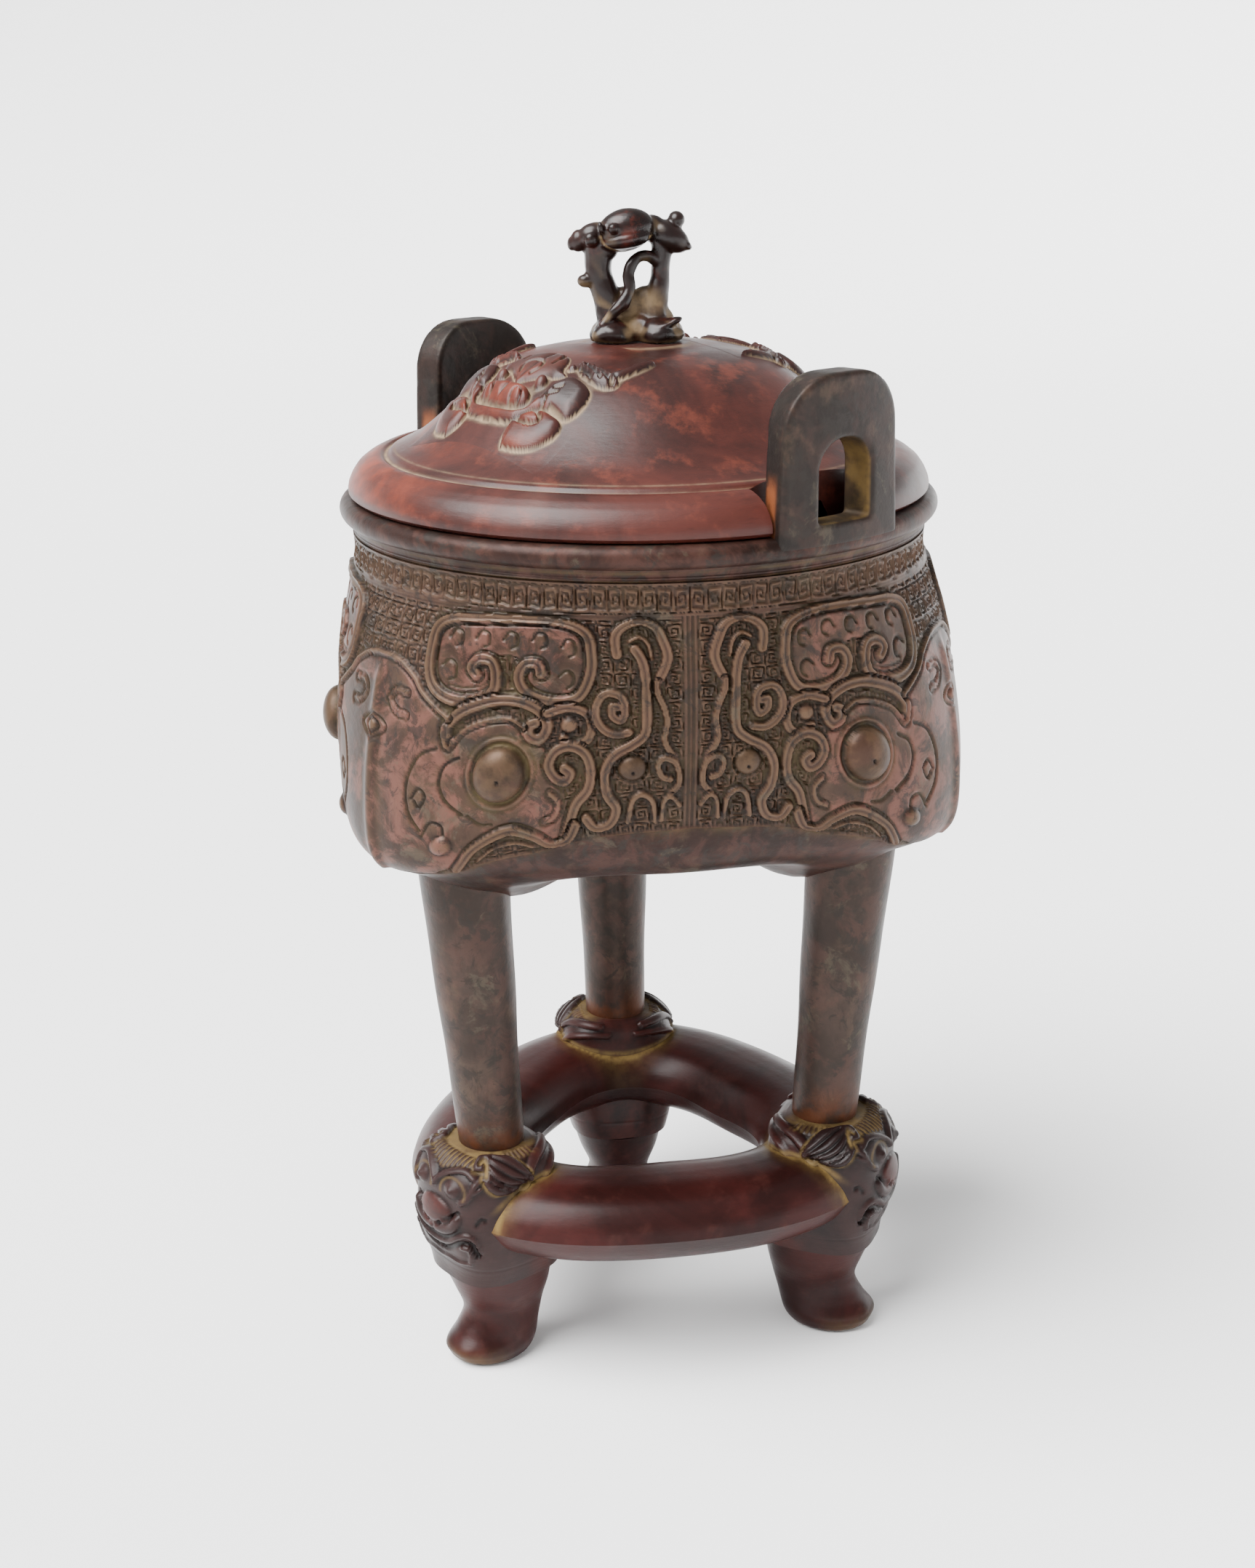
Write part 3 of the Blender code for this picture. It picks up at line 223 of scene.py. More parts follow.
def inside_outline(x, y, outline):
    """Tell which points lie inside a closed outline."""
    inside = np.zeros(x.shape, bool)
    for (ax, ay), (bx, by) in zip(outline, np.roll(outline, -1, axis=0)):
        if ay == by:
            continue
        crosses = (ay > y) != (by > y)
        inside ^= crosses & (x < (bx - ax) * (y - ay) / (by - ay) + ax)
    return inside


def signed_distance(x, y, outline, reach):
    """Distance to a closed outline, positive inside, capped at reach."""
    closed = np.vstack((outline, outline[:1]))
    away = distance_to_path(x, y, closed, reach)[0]
    return np.where(inside_outline(x, y, outline), away, -away)


def blurred(field, size):
    """Blur a grid with a box of the given half size, twice."""
    for _ in range(2):
        for axis in (0, 1):
            padded = np.pad(field, [(size + 1, size) if a == axis else (0, 0) for a in (0, 1)], mode="edge")
            total = np.cumsum(padded, axis=axis)
            width = 2 * size + 1
            total = np.moveaxis(total, axis, 0)
            field = np.moveaxis((total[width:] - total[:-width]) / width, 0, axis)
    return field


# Body surface, as in the solids

def lobe_angle(angle):
    """Return degrees from the nearest lobe's middle, negative on its left."""
    away = (np.asarray(angle) - LEG_ANGLES[0]) % 120.0
    return np.where(away > 60.0, away - 120.0, away)


def body_surface(angle, step):
    """Return points of the body's smooth outer surface at angles in degrees and profile steps."""
    low = smooth_step(np.asarray(step) / LOBE_LOW_STEP - 0.2)
    sharpness = LOBE_SHARPNESS + (LOBE_LOW_SHARPNESS - LOBE_SHARPNESS) * low
    share = ((1 + np.cos(np.radians(3 * lobe_angle(angle)))) / 2) ** sharpness
    profile = spline(LOBE_PROFILE, step) * share[..., None] + spline(SEAM_PROFILE, step) * (1 - share[..., None])
    radius = profile[..., 0] * RIM_RADIUS
    height = LIP_TOP_Z - LIP_HEIGHT - profile[..., 1] * BODY_DEPTH
    turn = np.radians(angle)
    return np.stack((radius * np.cos(turn), radius * np.sin(turn), height), axis=-1)


def body_normal(angle, step):
    """Return the outward normals of the body's surface."""
    low = np.clip(step - 0.02, 0.0, len(LOBE_PROFILE) - 1)
    high = np.clip(step + 0.02, 0.0, len(LOBE_PROFILE) - 1)
    around = body_surface(angle + 0.2, step) - body_surface(angle - 0.2, step)
    down = body_surface(angle, high) - body_surface(angle, low)
    normal = np.cross(down, around)
    length = np.linalg.norm(normal, axis=-1, keepdims=True)
    return np.where(length > 1e-12, normal / np.maximum(length, 1e-12), np.array((0.0, 0.0, -1.0)))


# Relief of half a lobe. Chart: degrees from the lobe's middle, profile step. Widths in millimetres.
CHART_X = 1.38
CHART_Y = 14.0
BAND_RISE = 1.35
BANDS = (
    # Horn frame and its two inward curls
    (3.4, 1.00, ((21.5, 3.23), (20.6, 3.10), (21.8, 2.96), (24.2, 2.98), (25.2, 3.20), (24.8, 3.50), (21.8, 3.66),
        (17.5, 3.67), (13.8, 3.52), (12.0, 3.23), (11.8, 2.80), (12.6, 2.46), (16.0, 2.28), (22.2, 2.21), (28.0, 2.16),
        (33.8, 2.14), (38.5, 2.22), (41.5, 2.42), (42.3, 2.78), (42.1, 3.20), (40.2, 3.62), (36.8, 3.72), (32.8, 3.64),
        (30.2, 3.45), (29.4, 3.20), (30.6, 3.00), (32.8, 3.00), (33.4, 3.18))),
    # Brow that curls under
    (3.3, 0.95, ((16.8, 4.32), (16.4, 4.10), (18.5, 3.89), (21.8, 3.75), (26.2, 3.66), (30.2, 3.71), (33.5, 3.90),
        (34.5, 4.15), (33.2, 4.36), (31.4, 4.30), (31.2, 4.14), (32.4, 4.08))),
    (1.5, 0.55, ((17.6, 4.32), (20.0, 4.12), (24.0, 4.00), (27.8, 3.99), (30.2, 4.14))),
    # Ear
    (2.9, 0.90, ((34.6, 3.92), (38.0, 3.84), (41.2, 3.94), (42.2, 4.20), (41.5, 4.44), (39.2, 4.53), (37.2, 4.40))),
    # Scroll beside the ear
    (2.8, 0.85, ((47.0, 3.86), (45.9, 3.85), (46.0, 4.03), (47.5, 4.12), (48.2, 3.90), (47.5, 3.66), (45.2, 3.58),
        (43.6, 3.70), (42.9, 3.98), (44.0, 4.24), (46.2, 4.38), (48.8, 4.36))),
    # Cheek curl down to the mouth
    (3.2, 0.95, ((37.2, 4.92), (38.2, 5.02), (37.2, 5.14), (35.5, 5.05), (34.5, 4.82), (35.8, 4.60), (38.5, 4.54),
        (41.0, 4.70), (41.9, 5.03), (41.2, 5.33), (39.0, 5.55), (37.8, 5.83), (36.8, 6.15))),
    (1.8, 0.70, ((34.4, 5.32), (35.8, 5.50), (35.0, 5.72), (33.0, 5.80))),
    # Mouth
    (3.2, 0.95, ((16.4, 6.72), (18.2, 6.38), (20.2, 6.10), (23.8, 5.90), (27.5, 5.85), (31.2, 6.08), (33.5, 6.34),
        (36.8, 6.30), (38.6, 5.95))),
    (1.6, 0.55, ((20.4, 6.50), (23.5, 6.20), (27.5, 6.15), (30.5, 6.35))),
    # Dragon beside the seam
    (3.2, 1.00, ((46.8, 2.80), (46.5, 2.45), (48.2, 2.22), (51.0, 2.12), (53.6, 2.25), (55.0, 2.55), (55.8, 2.85),
        (55.0, 3.15), (53.8, 3.38))),
    (1.6, 0.80, ((49.0, 2.55), (50.8, 2.46), (52.4, 2.62), (52.9, 2.90))),
    (3.2, 1.00, ((50.0, 2.70), (51.2, 2.92), (51.8, 3.25), (52.0, 3.75), (51.8, 4.35), (49.5, 4.58), (46.2, 4.76),
        (44.4, 5.05), (44.6, 5.43), (46.2, 5.70), (44.9, 6.00), (42.2, 6.06), (40.6, 5.84))),
    (2.2, 0.90, ((53.8, 3.38), (53.9, 3.60), (55.0, 3.88), (55.6, 4.17), (55.2, 4.55), (57.2, 4.90))),
    (2.1, 0.85, ((56.2, 5.24), (54.6, 5.18), (54.0, 4.98), (55.2, 4.86), (57.3, 4.98), (57.8, 5.30), (56.2, 5.50))),
    (2.0, 0.80, ((48.3, 5.98), (49.2, 5.60), (51.0, 5.48), (53.0, 5.62), (53.6, 6.00))),
    (1.7, 0.75, ((54.6, 5.98), (55.0, 5.64), (56.4, 5.54), (58.0, 5.70))),
    # Crest over the forehead
    (1.7, 0.75, ((-2.0, 3.13), (2.0, 3.13), (5.0, 3.18), (8.8, 3.38), (10.8, 3.58), (14.0, 3.80), (16.6, 3.96))),
    (1.5, 0.55, ((7.8, 3.97), (5.2, 3.92), (3.6, 3.76), (5.0, 3.62), (7.6, 3.64))),
)
# One curl cut into the horn, which repeats along it
HORN_CURL = ((15.4, 2.62), (16.2, 2.48), (17.8, 2.52), (18.0, 2.70), (17.0, 2.76))
# Small crescents and curls cut into the plain parts: width and depth in millimetres, path
CUTS = (
    (0.75, 0.60, ((14.6, 4.40), (11.0, 4.52), (8.8, 4.88), (9.0, 5.30), (11.2, 5.62))),
    (0.75, 0.60, ((18.8, 4.55), (16.2, 4.65), (15.2, 4.90), (16.2, 5.18), (19.0, 5.43))),
    (0.65, 0.60, ((9.8, 5.12), (11.2, 4.98), (12.5, 5.10), (11.3, 5.26), (10.4, 5.16))),
    (0.65, 0.55, ((11.5, 5.70), (13.2, 5.50), (15.2, 5.56), (15.4, 5.74))),
    (0.65, 0.60, ((-1.5, 4.02), (1.5, 4.20), (-1.5, 4.38))),
    (0.55, 0.50, ((-3.4, 3.96), (0.0, 4.02), (3.4, 4.20), (0.0, 4.38), (-3.4, 4.44))),
    (0.70, 0.55, ((37.0, 2.66), (37.8, 2.52), (39.2, 2.58), (39.3, 2.78), (38.4, 2.84))),
    (0.70, 0.55, ((14.6, 3.10), (15.8, 3.00), (17.2, 3.08), (17.4, 3.28), (16.2, 3.34))),
    (0.70, 0.55, ((36.6, 3.22), (37.8, 3.12), (39.0, 3.20), (39.0, 3.38), (38.0, 3.46))),
    (0.60, 0.45, ((24.0, 3.30), (22.4, 3.42), (19.0, 3.46), (16.2, 3.42))),
    (0.55, 0.50, ((20.0, 5.45), (22.0, 5.62), (24.0, 5.66))),
    (0.60, 0.50, ((38.8, 5.20), (39.8, 5.05), (39.6, 4.88), (38.4, 4.78))),
    (0.55, 0.50, ((24.6, 6.42), (26.0, 6.32), (27.6, 6.42))),
) + tuple((0.70, 0.55, tuple((u + 5.4 * k, t - 0.02 * k) for u, t in HORN_CURL)) for k in range(4))
# Domed discs, the first two with a collar and a pupil: centre, half sizes in millimetres, height in millimetres
DISCS = (
    ((26.0, 4.86), (6.3, 6.3), 5.0),
    ((49.3, 5.02), (3.6, 3.2), 1.9),
    ((38.3, 4.16), (2.3, 2.1), 1.5),
    ((14.8, 5.92), (2.9, 2.9), 2.1),
)
COLLARED_DISCS = 2
# Outlines of the plain raised forms under the bands
FACE_OUTLINE = (
    (-3.0, 3.12), (2.0, 3.12), (5.0, 3.18), (8.8, 3.38), (12.0, 3.70), (16.0, 3.96), (16.8, 4.30), (20.0, 4.08),
    (27.0, 3.96), (33.0, 4.40), (34.5, 4.60), (34.2, 4.90), (36.0, 5.20), (37.2, 5.60), (36.4, 6.20), (33.6, 6.32),
    (30.8, 6.00), (27.5, 5.78), (23.4, 5.83), (19.6, 6.05), (16.0, 6.62), (12.0, 6.88), (-3.0, 6.90))
HORN_FILL = (
    (13.0, 2.60), (16.5, 2.32), (28.0, 2.20), (38.0, 2.24), (41.8, 2.70), (41.5, 3.25), (38.0, 3.70), (33.0, 3.60),
    (30.4, 3.30), (31.0, 2.96), (27.4, 2.86), (23.6, 2.92), (25.0, 3.30), (22.0, 3.62), (17.0, 3.62), (12.8, 3.30))

# Rises, cells and pitches in millimetres
GROUND_RISE = 0.50
GROUND_CELL = (4.3, 3.9)
FRET_RISE = 0.52
FRET_CELL = 4.14
FRET_TURNS = 2.0
FACE_RISE = 0.70
HORN_RISE = 0.72
KEEL_RISE = 0.95
SEAM_LINES_RISE = 0.45
SEAM_LINES_PITCH = 1.3
SEAM_LINES_REACH = 2.05

# Where the decorated zone and the band of spirals start and end, in profile steps
ZONE_TOP = 0.46
FRET_LINES = (0.58, 1.88)
ZONE_BOTTOM = np.array(((-1.0, 6.93), (14.0, 6.93), (17.5, 6.84), (21.0, 6.62), (26.0, 6.56), (31.0, 6.56),
                        (37.5, 6.38), (48.5, 6.28), (61.0, 6.20)))

# The relief's grid, and how deep the casting and the plate's back lie under its face
PANEL_COLUMNS = 213
PANEL_ROWS = 182
PANEL_BACK_ROWS = 8
CORE_SINK = 0.55
PANEL_BACK_SINK = 1.10


def chart(points):
    """Turn chart points into millimetres."""
    return np.array(points, float) * (CHART_X, CHART_Y)


def fret(x, y, cell_x, cell_y, rings):
    """Square spirals in cells, 1 on the ridge and 0 in the groove, turning the other way in every second cell."""
    column = np.floor(x / cell_x)
    row = np.floor(y / cell_y)
    p = 2 * (x / cell_x - column) - 1
    q = 2 * (y / cell_y - row) - 1
    p = np.where((column + row) % 2 == 0, p, -p)
    reach = np.maximum(np.abs(p), np.abs(q))
    wave = 0.5 + 0.5 * np.cos(2 * np.pi * (reach * rings + np.arctan2(q, p) / (2 * np.pi)))
    return smooth_step(1.6 * (wave - 0.5) + 0.5)


def step_lengths():
    """Return profile steps and the length of the body's side down to each, in millimetres."""
    steps = np.linspace(0, 8, 801)
    points = body_surface(np.full(steps.shape, LEG_ANGLES[0] + 30.0), steps) / MM
    lengths = np.concatenate(([0.0], np.cumsum(np.linalg.norm(np.diff(points, axis=0), axis=1))))
    return steps, lengths


def relief_field():
    """Work out half a lobe: chart grids, height in millimetres and the masks that colour it."""
    steps, lengths = step_lengths()
    columns = np.linspace(0.0, 60.0, PANEL_COLUMNS)
    bottom = np.interp(columns, ZONE_BOTTOM[:, 0], ZONE_BOTTOM[:, 1])
    top_length = np.interp(ZONE_TOP, steps, lengths)
    share = np.linspace(0.0, 1.0, PANEL_ROWS)[:, None]
    length = top_length + (np.interp(bottom, steps, lengths) - top_length)[None] * share
    t = np.interp(length, lengths, steps)
    u = np.broadcast_to(columns, t.shape)
    x, y = u * CHART_X, t * CHART_Y

    # Ground of small square spirals, and the band of larger ones under the rim
    ground = GROUND_RISE * fret(x + 0.9, length, *GROUND_CELL, FRET_TURNS)
    fret_top, fret_bottom = (np.interp(level, steps, lengths) for level in FRET_LINES)
    in_band = (length > fret_top) & (length < fret_bottom)
    band = FRET_RISE * fret(x, length - fret_top, FRET_CELL, fret_bottom - fret_top, FRET_TURNS)
    height = np.where(in_band, band, ground)
    for level in (fret_top - 0.55, fret_top - 1.35, fret_bottom + 0.55, fret_bottom + 1.35):
        away = np.abs(length - level)
        height = np.where(away < 0.42, 0.42 * smooth_step(1.6 - away / 0.28), height)
    height = np.where(length < fret_top - 1.8, 0.05, height)
    ground_mask = np.ones(height.shape)

    def cover_with(shape, rise):
        """Lay a raised form over what is there."""
        nonlocal height, ground_mask
        height = np.maximum(height * (1 - shape), rise * shape)
        ground_mask = ground_mask * (1 - shape)

    # Cheeks and horns, then the bands over them
    face = smooth_step(signed_distance(x, y, chart(FACE_OUTLINE), 1.2) / 0.55)
    cover_with(face, FACE_RISE)
    horn = smooth_step(signed_distance(x, y, chart(HORN_FILL), 1.2) / 0.5)
    cover_with(horn, HORN_RISE)
    for width, share_up, points in BANDS:
        away = distance_to_path(x, y, chart(rounded_path(points)), width)[0]
        shape = smooth_step((width / 2 - away) / 0.62)
        crown = 1.0 - (0.30 * np.exp(-(away / (0.15 * width)) ** 2) if width > 2.0 else 0.0)
        moat = smooth_step(1 - np.abs(away - width / 2 - 0.25) / 0.5)
        height = np.where(away > width / 2, height * (1 - 0.65 * moat), height)
        cover_with(shape, BAND_RISE * share_up * crown + 0.10)
    for width, depth, points in CUTS:
        away = distance_to_path(x, y, chart(rounded_path(points)), width * 1.5)[0]
        height = height - depth * smooth_step((width / 2 + 0.25 - away) / 0.45)
    height = height + KEEL_RISE * np.exp(-(x / 1.9) ** 2) * smooth_step((t - 3.15) / 0.5)

    # Discs: the boss of the cheek, eyes and beads
    boss = np.zeros(height.shape)
    for number, (centre, (half_x, half_y), rise) in enumerate(DISCS):
        middle_x, middle_y = chart([centre])[0]
        away = np.hypot((x - middle_x) / half_x, (y - middle_y) / half_y)
        dome = rise * half_ball(away) ** (0.8 if number == 0 else 1.0)
        if number < COLLARED_DISCS:
            collar = smooth_step(1 - np.abs(away - 1.22) / 0.13)
            height = np.where((away > 1.0) & (away < 1.4), height * 0.75 + 0.5 * collar, height)
            dome = dome - 0.9 * smooth_step(1 - np.hypot(x - middle_x - 0.2, y - middle_y - 0.9) / 0.75)
            boss = np.maximum(boss, (away < 1.02) * 1.0)
        height = np.where(away < 1.0, np.maximum(height * (away > 0.97), dome), height)

    # Ribs along the seam, and a plain lower edge
    seam = np.abs(60.0 - u) * CHART_X
    lines = SEAM_LINES_RISE * (0.5 + 0.5 * np.cos(2 * np.pi * seam / SEAM_LINES_PITCH))
    height = np.where((seam < SEAM_LINES_REACH) & (t > 2.0), lines, height)
    height = np.maximum(height, 0.62 * (1 - smooth_step((length[-1] - length) / 0.8)))
    # Hollows round the bands are darkened as painted shade, less in the band of spirals
    painted_shade = np.clip((blurred(height, 2) - height) * 3.6 - 0.05, 0.0, 1.0)
    masks = {
        "painted_shade": np.where(in_band, 0.32 * painted_shade, painted_shade),
        "ridge": np.clip((height - blurred(height, 3)) * 2.6, 0.0, 1.0),
        "dust": np.clip((blurred(height, 9) - height) * 1.1 - 0.08, 0.0, 1.0),
        "face": np.clip(face + 0.75 * horn, 0, 1) * (1 - 0.3 * ground_mask),
        "boss": boss,
    }
    return u, t, height, masks


# Meshes

def link(name, data, material=None):
    """Put a mesh, curve, lamp or camera in the scene as an object."""
    item = bpy.data.objects.new(name, data)
    bpy.context.scene.collection.objects.link(item)
    if material:
        data.materials.append(material)
    return item


def shade(piece, angle=50.0):
    """Shade smooth, with sharp edges past the given angle."""
    piece.data.shade_smooth()
    piece.data.set_sharp_from_angle(angle=math.radians(angle))


def face_out(mesh):
    """Make every face of a closed mesh face out."""
    bm = bmesh.new()
    bm.from_mesh(mesh)
    bmesh.ops.recalc_face_normals(bm, faces=bm.faces)
    bm.to_mesh(mesh)
    bm.free()


def store(mesh, name, values):
    """Keep one number for each vertex under a name."""
    layer = mesh.attributes.new(name, "FLOAT", "POINT")
    layer.data.foreach_set("value", np.ascontiguousarray(values, dtype=np.float32).ravel())


def grid_faces(rows, columns, first=0, closed=False):
    """Return the quads of a grid of vertices."""
    j, i = np.meshgrid(np.arange(rows - 1), np.arange(columns if closed else columns - 1), indexing="ij")
    right = (i + 1) % columns
    quads = np.stack((j * columns + i, j * columns + right, (j + 1) * columns + right, (j + 1) * columns + i), axis=-1)
    return (quads + first).reshape(-1, 4)


def make_mesh(name, points, faces):
    """Build a mesh from points and a list of faces."""
    mesh = bpy.data.meshes.new(name)
    mesh.from_pydata(np.asarray(points).reshape(-1, 3).tolist(), [], [list(map(int, face)) for face in faces])
    mesh.validate()
    return mesh


def turned_grid(name, rows, material, fields):
    """Close a stack of equal rings into a mesh, each end with a fan to its middle."""
    rings = np.array(rows)
    count, columns = rings.shape[:2]
    points = rings.reshape(-1, 3)
    faces = [tuple(face) for face in grid_faces(count, columns, closed=True)]
    for ring, first in ((0, 0), (count - 1, (count - 1) * columns)):
        points = np.vstack((points, rings[ring].mean(axis=0)))
        centre = len(points) - 1
        faces += [(first + i, first + (i + 1) % columns, centre) for i in range(columns)]
    mesh = make_mesh(name, points, faces)
    for key, values in fields.items():
        values = np.asarray(values)
        store(mesh, key, np.concatenate((values.ravel(), (values[0].mean(), values[-1].mean()))))
    face_out(mesh)
    return link(name, mesh, material)


def closed_plate(name, front, back, picks, fields, material, sharp):
    """Close a grid of points with a coarser one behind it, made from the picked rows."""
    rows, columns = front.shape[:2]
    first_back = rows * columns
    last, last_back = (rows - 1) * columns, first_back + (len(picks) - 1) * columns
    faces = [tuple(face) for face in grid_faces(rows, columns)]
    faces += [tuple(face[::-1]) for face in grid_faces(len(picks), columns, first_back)]
    for i in range(columns - 1):
        faces.append((i, first_back + i, first_back + i + 1, i + 1))
        faces.append((last + i, last + i + 1, last_back + i + 1, last_back + i))
    for column, flip in ((0, False), (columns - 1, True)):
        for k in range(len(picks) - 1):
            wall = [j * columns + column for j in range(picks[k], picks[k + 1] + 1)]
            wall += [first_back + (k + 1) * columns + column, first_back + k * columns + column]
            faces.append(tuple(wall[::-1] if flip else wall))
    mesh = make_mesh(name, np.concatenate((front.reshape(-1, 3), back.reshape(-1, 3))), faces)
    for key, values in fields.items():
        store(mesh, key, np.concatenate((values.ravel(), np.zeros(len(picks) * columns))))
    face_out(mesh)
    plate = link(name, mesh, material)
    shade(plate, sharp)
    return plate


def relief_panel(name, middle, field, material):
    """One lobe's third of the decorated band, a closed plate that follows the body."""
    half_u, half_t, half_height, half_masks = field

    def whole(values, sign=1):
        """Mirror half a lobe to the other side."""
        return np.concatenate((sign * values[:, :0:-1], values), axis=1)

    angle = middle + whole(half_u, -1)
    t = whole(half_t)
    normal = body_normal(angle, t)
    base = body_surface(angle, t)
    front = base + whole(half_height)[..., None] * MM * normal
    picks = np.linspace(0, PANEL_ROWS - 1, PANEL_BACK_ROWS).astype(int)
    back = (base - PANEL_BACK_SINK * MM * normal)[picks]
    masks = {key: whole(values) for key, values in half_masks.items()}
    return closed_plate(name, front, back, picks, masks, material, 80.0)


def ring_points(radius, height, angles):
    """Return a level ring of points."""
    turn = np.radians(angles)
    return np.stack((radius * np.cos(turn), radius * np.sin(turn), np.full(turn.shape, height)), axis=-1)


def vessel_core(material):
    """The plain casting under the relief: body, lip, mouth and the hollow."""
    angles = np.arange(0, 360, 2.0)
    half_angle = np.abs(lobe_angle(angles))
    bottom = np.interp(half_angle, ZONE_BOTTOM[:, 0], ZONE_BOTTOM[:, 1])
    rows, dusts = [], []
    for step in np.concatenate((np.linspace(12, 7.2, 30)[1:], np.linspace(7.15, 6.0, 26), np.linspace(5.7, 0.75, 12),
                                np.linspace(0.62, 0.0, 16))):
        level = np.full(angles.shape, step)
        under = smooth_step((step - ZONE_TOP + 0.02) / 0.05) * smooth_step((bottom + 0.01 - step) / 0.03)
        lines = 0.22 * np.exp(-((step - 0.26) / 0.035) ** 2) + 0.22 * np.exp(-((step - 0.37) / 0.03) ** 2)
        sink = (-CORE_SINK * under + lines) * MM
        rows.append(body_surface(angles, level) + sink[:, None] * body_normal(angles, level))
        below = np.exp(-np.clip(step - bottom, 0, 9) / 0.10) * (step > bottom)
        dusts.append(0.55 * below + 0.35 * math.exp(-((step - 0.42) / 0.05) ** 2)
                     + 0.3 * math.exp(-((step - 0.0) / 0.08) ** 2))
    lip_centre = LIP_TOP_Z - LIP_HEIGHT / 2
    for turn in np.radians(np.linspace(-88, 90, 15)):
        radius = RIM_RADIUS - 0.0003 - LIP_HEIGHT / 2 * (1 - math.cos(turn))
        rows.append(ring_points(radius, lip_centre + LIP_HEIGHT / 2 * math.sin(turn), angles))
        dusts.append(np.zeros(angles.shape))
    for radius, height in ((MOUTH_RADIUS + 0.0006, LIP_TOP_Z), (MOUTH_RADIUS, LIP_TOP_Z - 0.0006),
                           (MOUTH_RADIUS, LIP_TOP_Z - LIP_HEIGHT)):
        rows.append(ring_points(radius, height, angles))
        dusts.append(np.zeros(angles.shape))
    for step in np.concatenate((np.linspace(1.2, 7, 14), np.linspace(7.4, 11.8, 14))):
        level = np.full(angles.shape, step)
        rows.append(body_surface(angles, level) - WALL * body_normal(angles, level))
        dusts.append(np.full(angles.shape, 0.25 + 0.05 * step))
    core = turned_grid("vessel_core", rows, material, fields={"dust": np.array(dusts)})
    shade(core, 40.0)
    return core


def vessel_leg(name, angle, material):
    """One cast leg, a slightly uneven tapering rod."""
    top = LIP_TOP_Z - LIP_HEIGHT - 0.86 * BODY_DEPTH
    turn = math.radians(angle)
    around = np.arange(0, 360, 7.5)
    rows, worn = [], []
    for height in np.linspace(LEG_TIP_Z, top, 46):
        share = (height - LEG_TIP_Z) / (top - LEG_TIP_Z)
        radius = LEG_TIP_RADIUS + share * (LEG_TOP_RADIUS - LEG_TIP_RADIUS)
        wobble = 0.14 * MM * np.sin(np.radians(2 * around + 40) + 7 * share) + 0.09 * MM * math.sin(17 * share + angle)
        spread = LEG_TIP_SPREAD + share * (LEG_TOP_SPREAD - LEG_TIP_SPREAD)
        ring = ring_points(1.0, height, around)
        ring[:, :2] *= (radius + wobble - 0.1 * MM)[:, None]
        ring[:, 0] += spread * math.cos(turn)
        ring[:, 1] += spread * math.sin(turn)
        rows.append(ring)
        worn.append(np.full(around.shape, smooth_step(1 - (height - LEG_TIP_Z - 0.0095) / 0.012)))
    leg = turned_grid(name, rows, material, fields={"wear": np.array(worn)})
    shade(leg, 50.0)
    return leg


def arch_outline(bottom_width, top_width, bottom, top, corner):
    """Return an outline with a straight foot and two rounded upper corners."""
    points = [(-bottom_width / 2, bottom), (bottom_width / 2, bottom)]
    half = top_width / 2
    corner = min(corner, half * 0.999)
    for middle, start in ((half - corner, 0), (corner - half, 90)):
        for turn in np.radians(np.linspace(start, start + 90, ARCH_STEPS)):
            points.append((middle + corner * math.cos(turn), top - corner + corner * math.sin(turn)))
    return points


def evaluated(piece):
    """Return a new mesh of an object with its modifiers applied."""
    bpy.context.view_layer.update()
    return bpy.data.meshes.new_from_object(piece.evaluated_get(bpy.context.evaluated_depsgraph_get()))


def melted(rough, voxel, rounds, factor):
    """Melt an object into one softened skin and return that mesh."""
    melt = rough.modifiers.new("Melt", "REMESH")
    melt.mode = "VOXEL"
    melt.voxel_size = voxel
    soften = rough.modifiers.new("Soften", "SMOOTH")
    soften.iterations = rounds
    soften.factor = factor
    mesh = evaluated(rough)
    bpy.data.objects.remove(rough, do_unlink=True)
    return mesh


def vertex_values(mesh, key):
    """Read the places or the normals of a mesh's vertices."""
    flat = np.empty(len(mesh.vertices) * 3)
    mesh.vertices.foreach_get(key, flat)
    return flat.reshape(-1, 3)


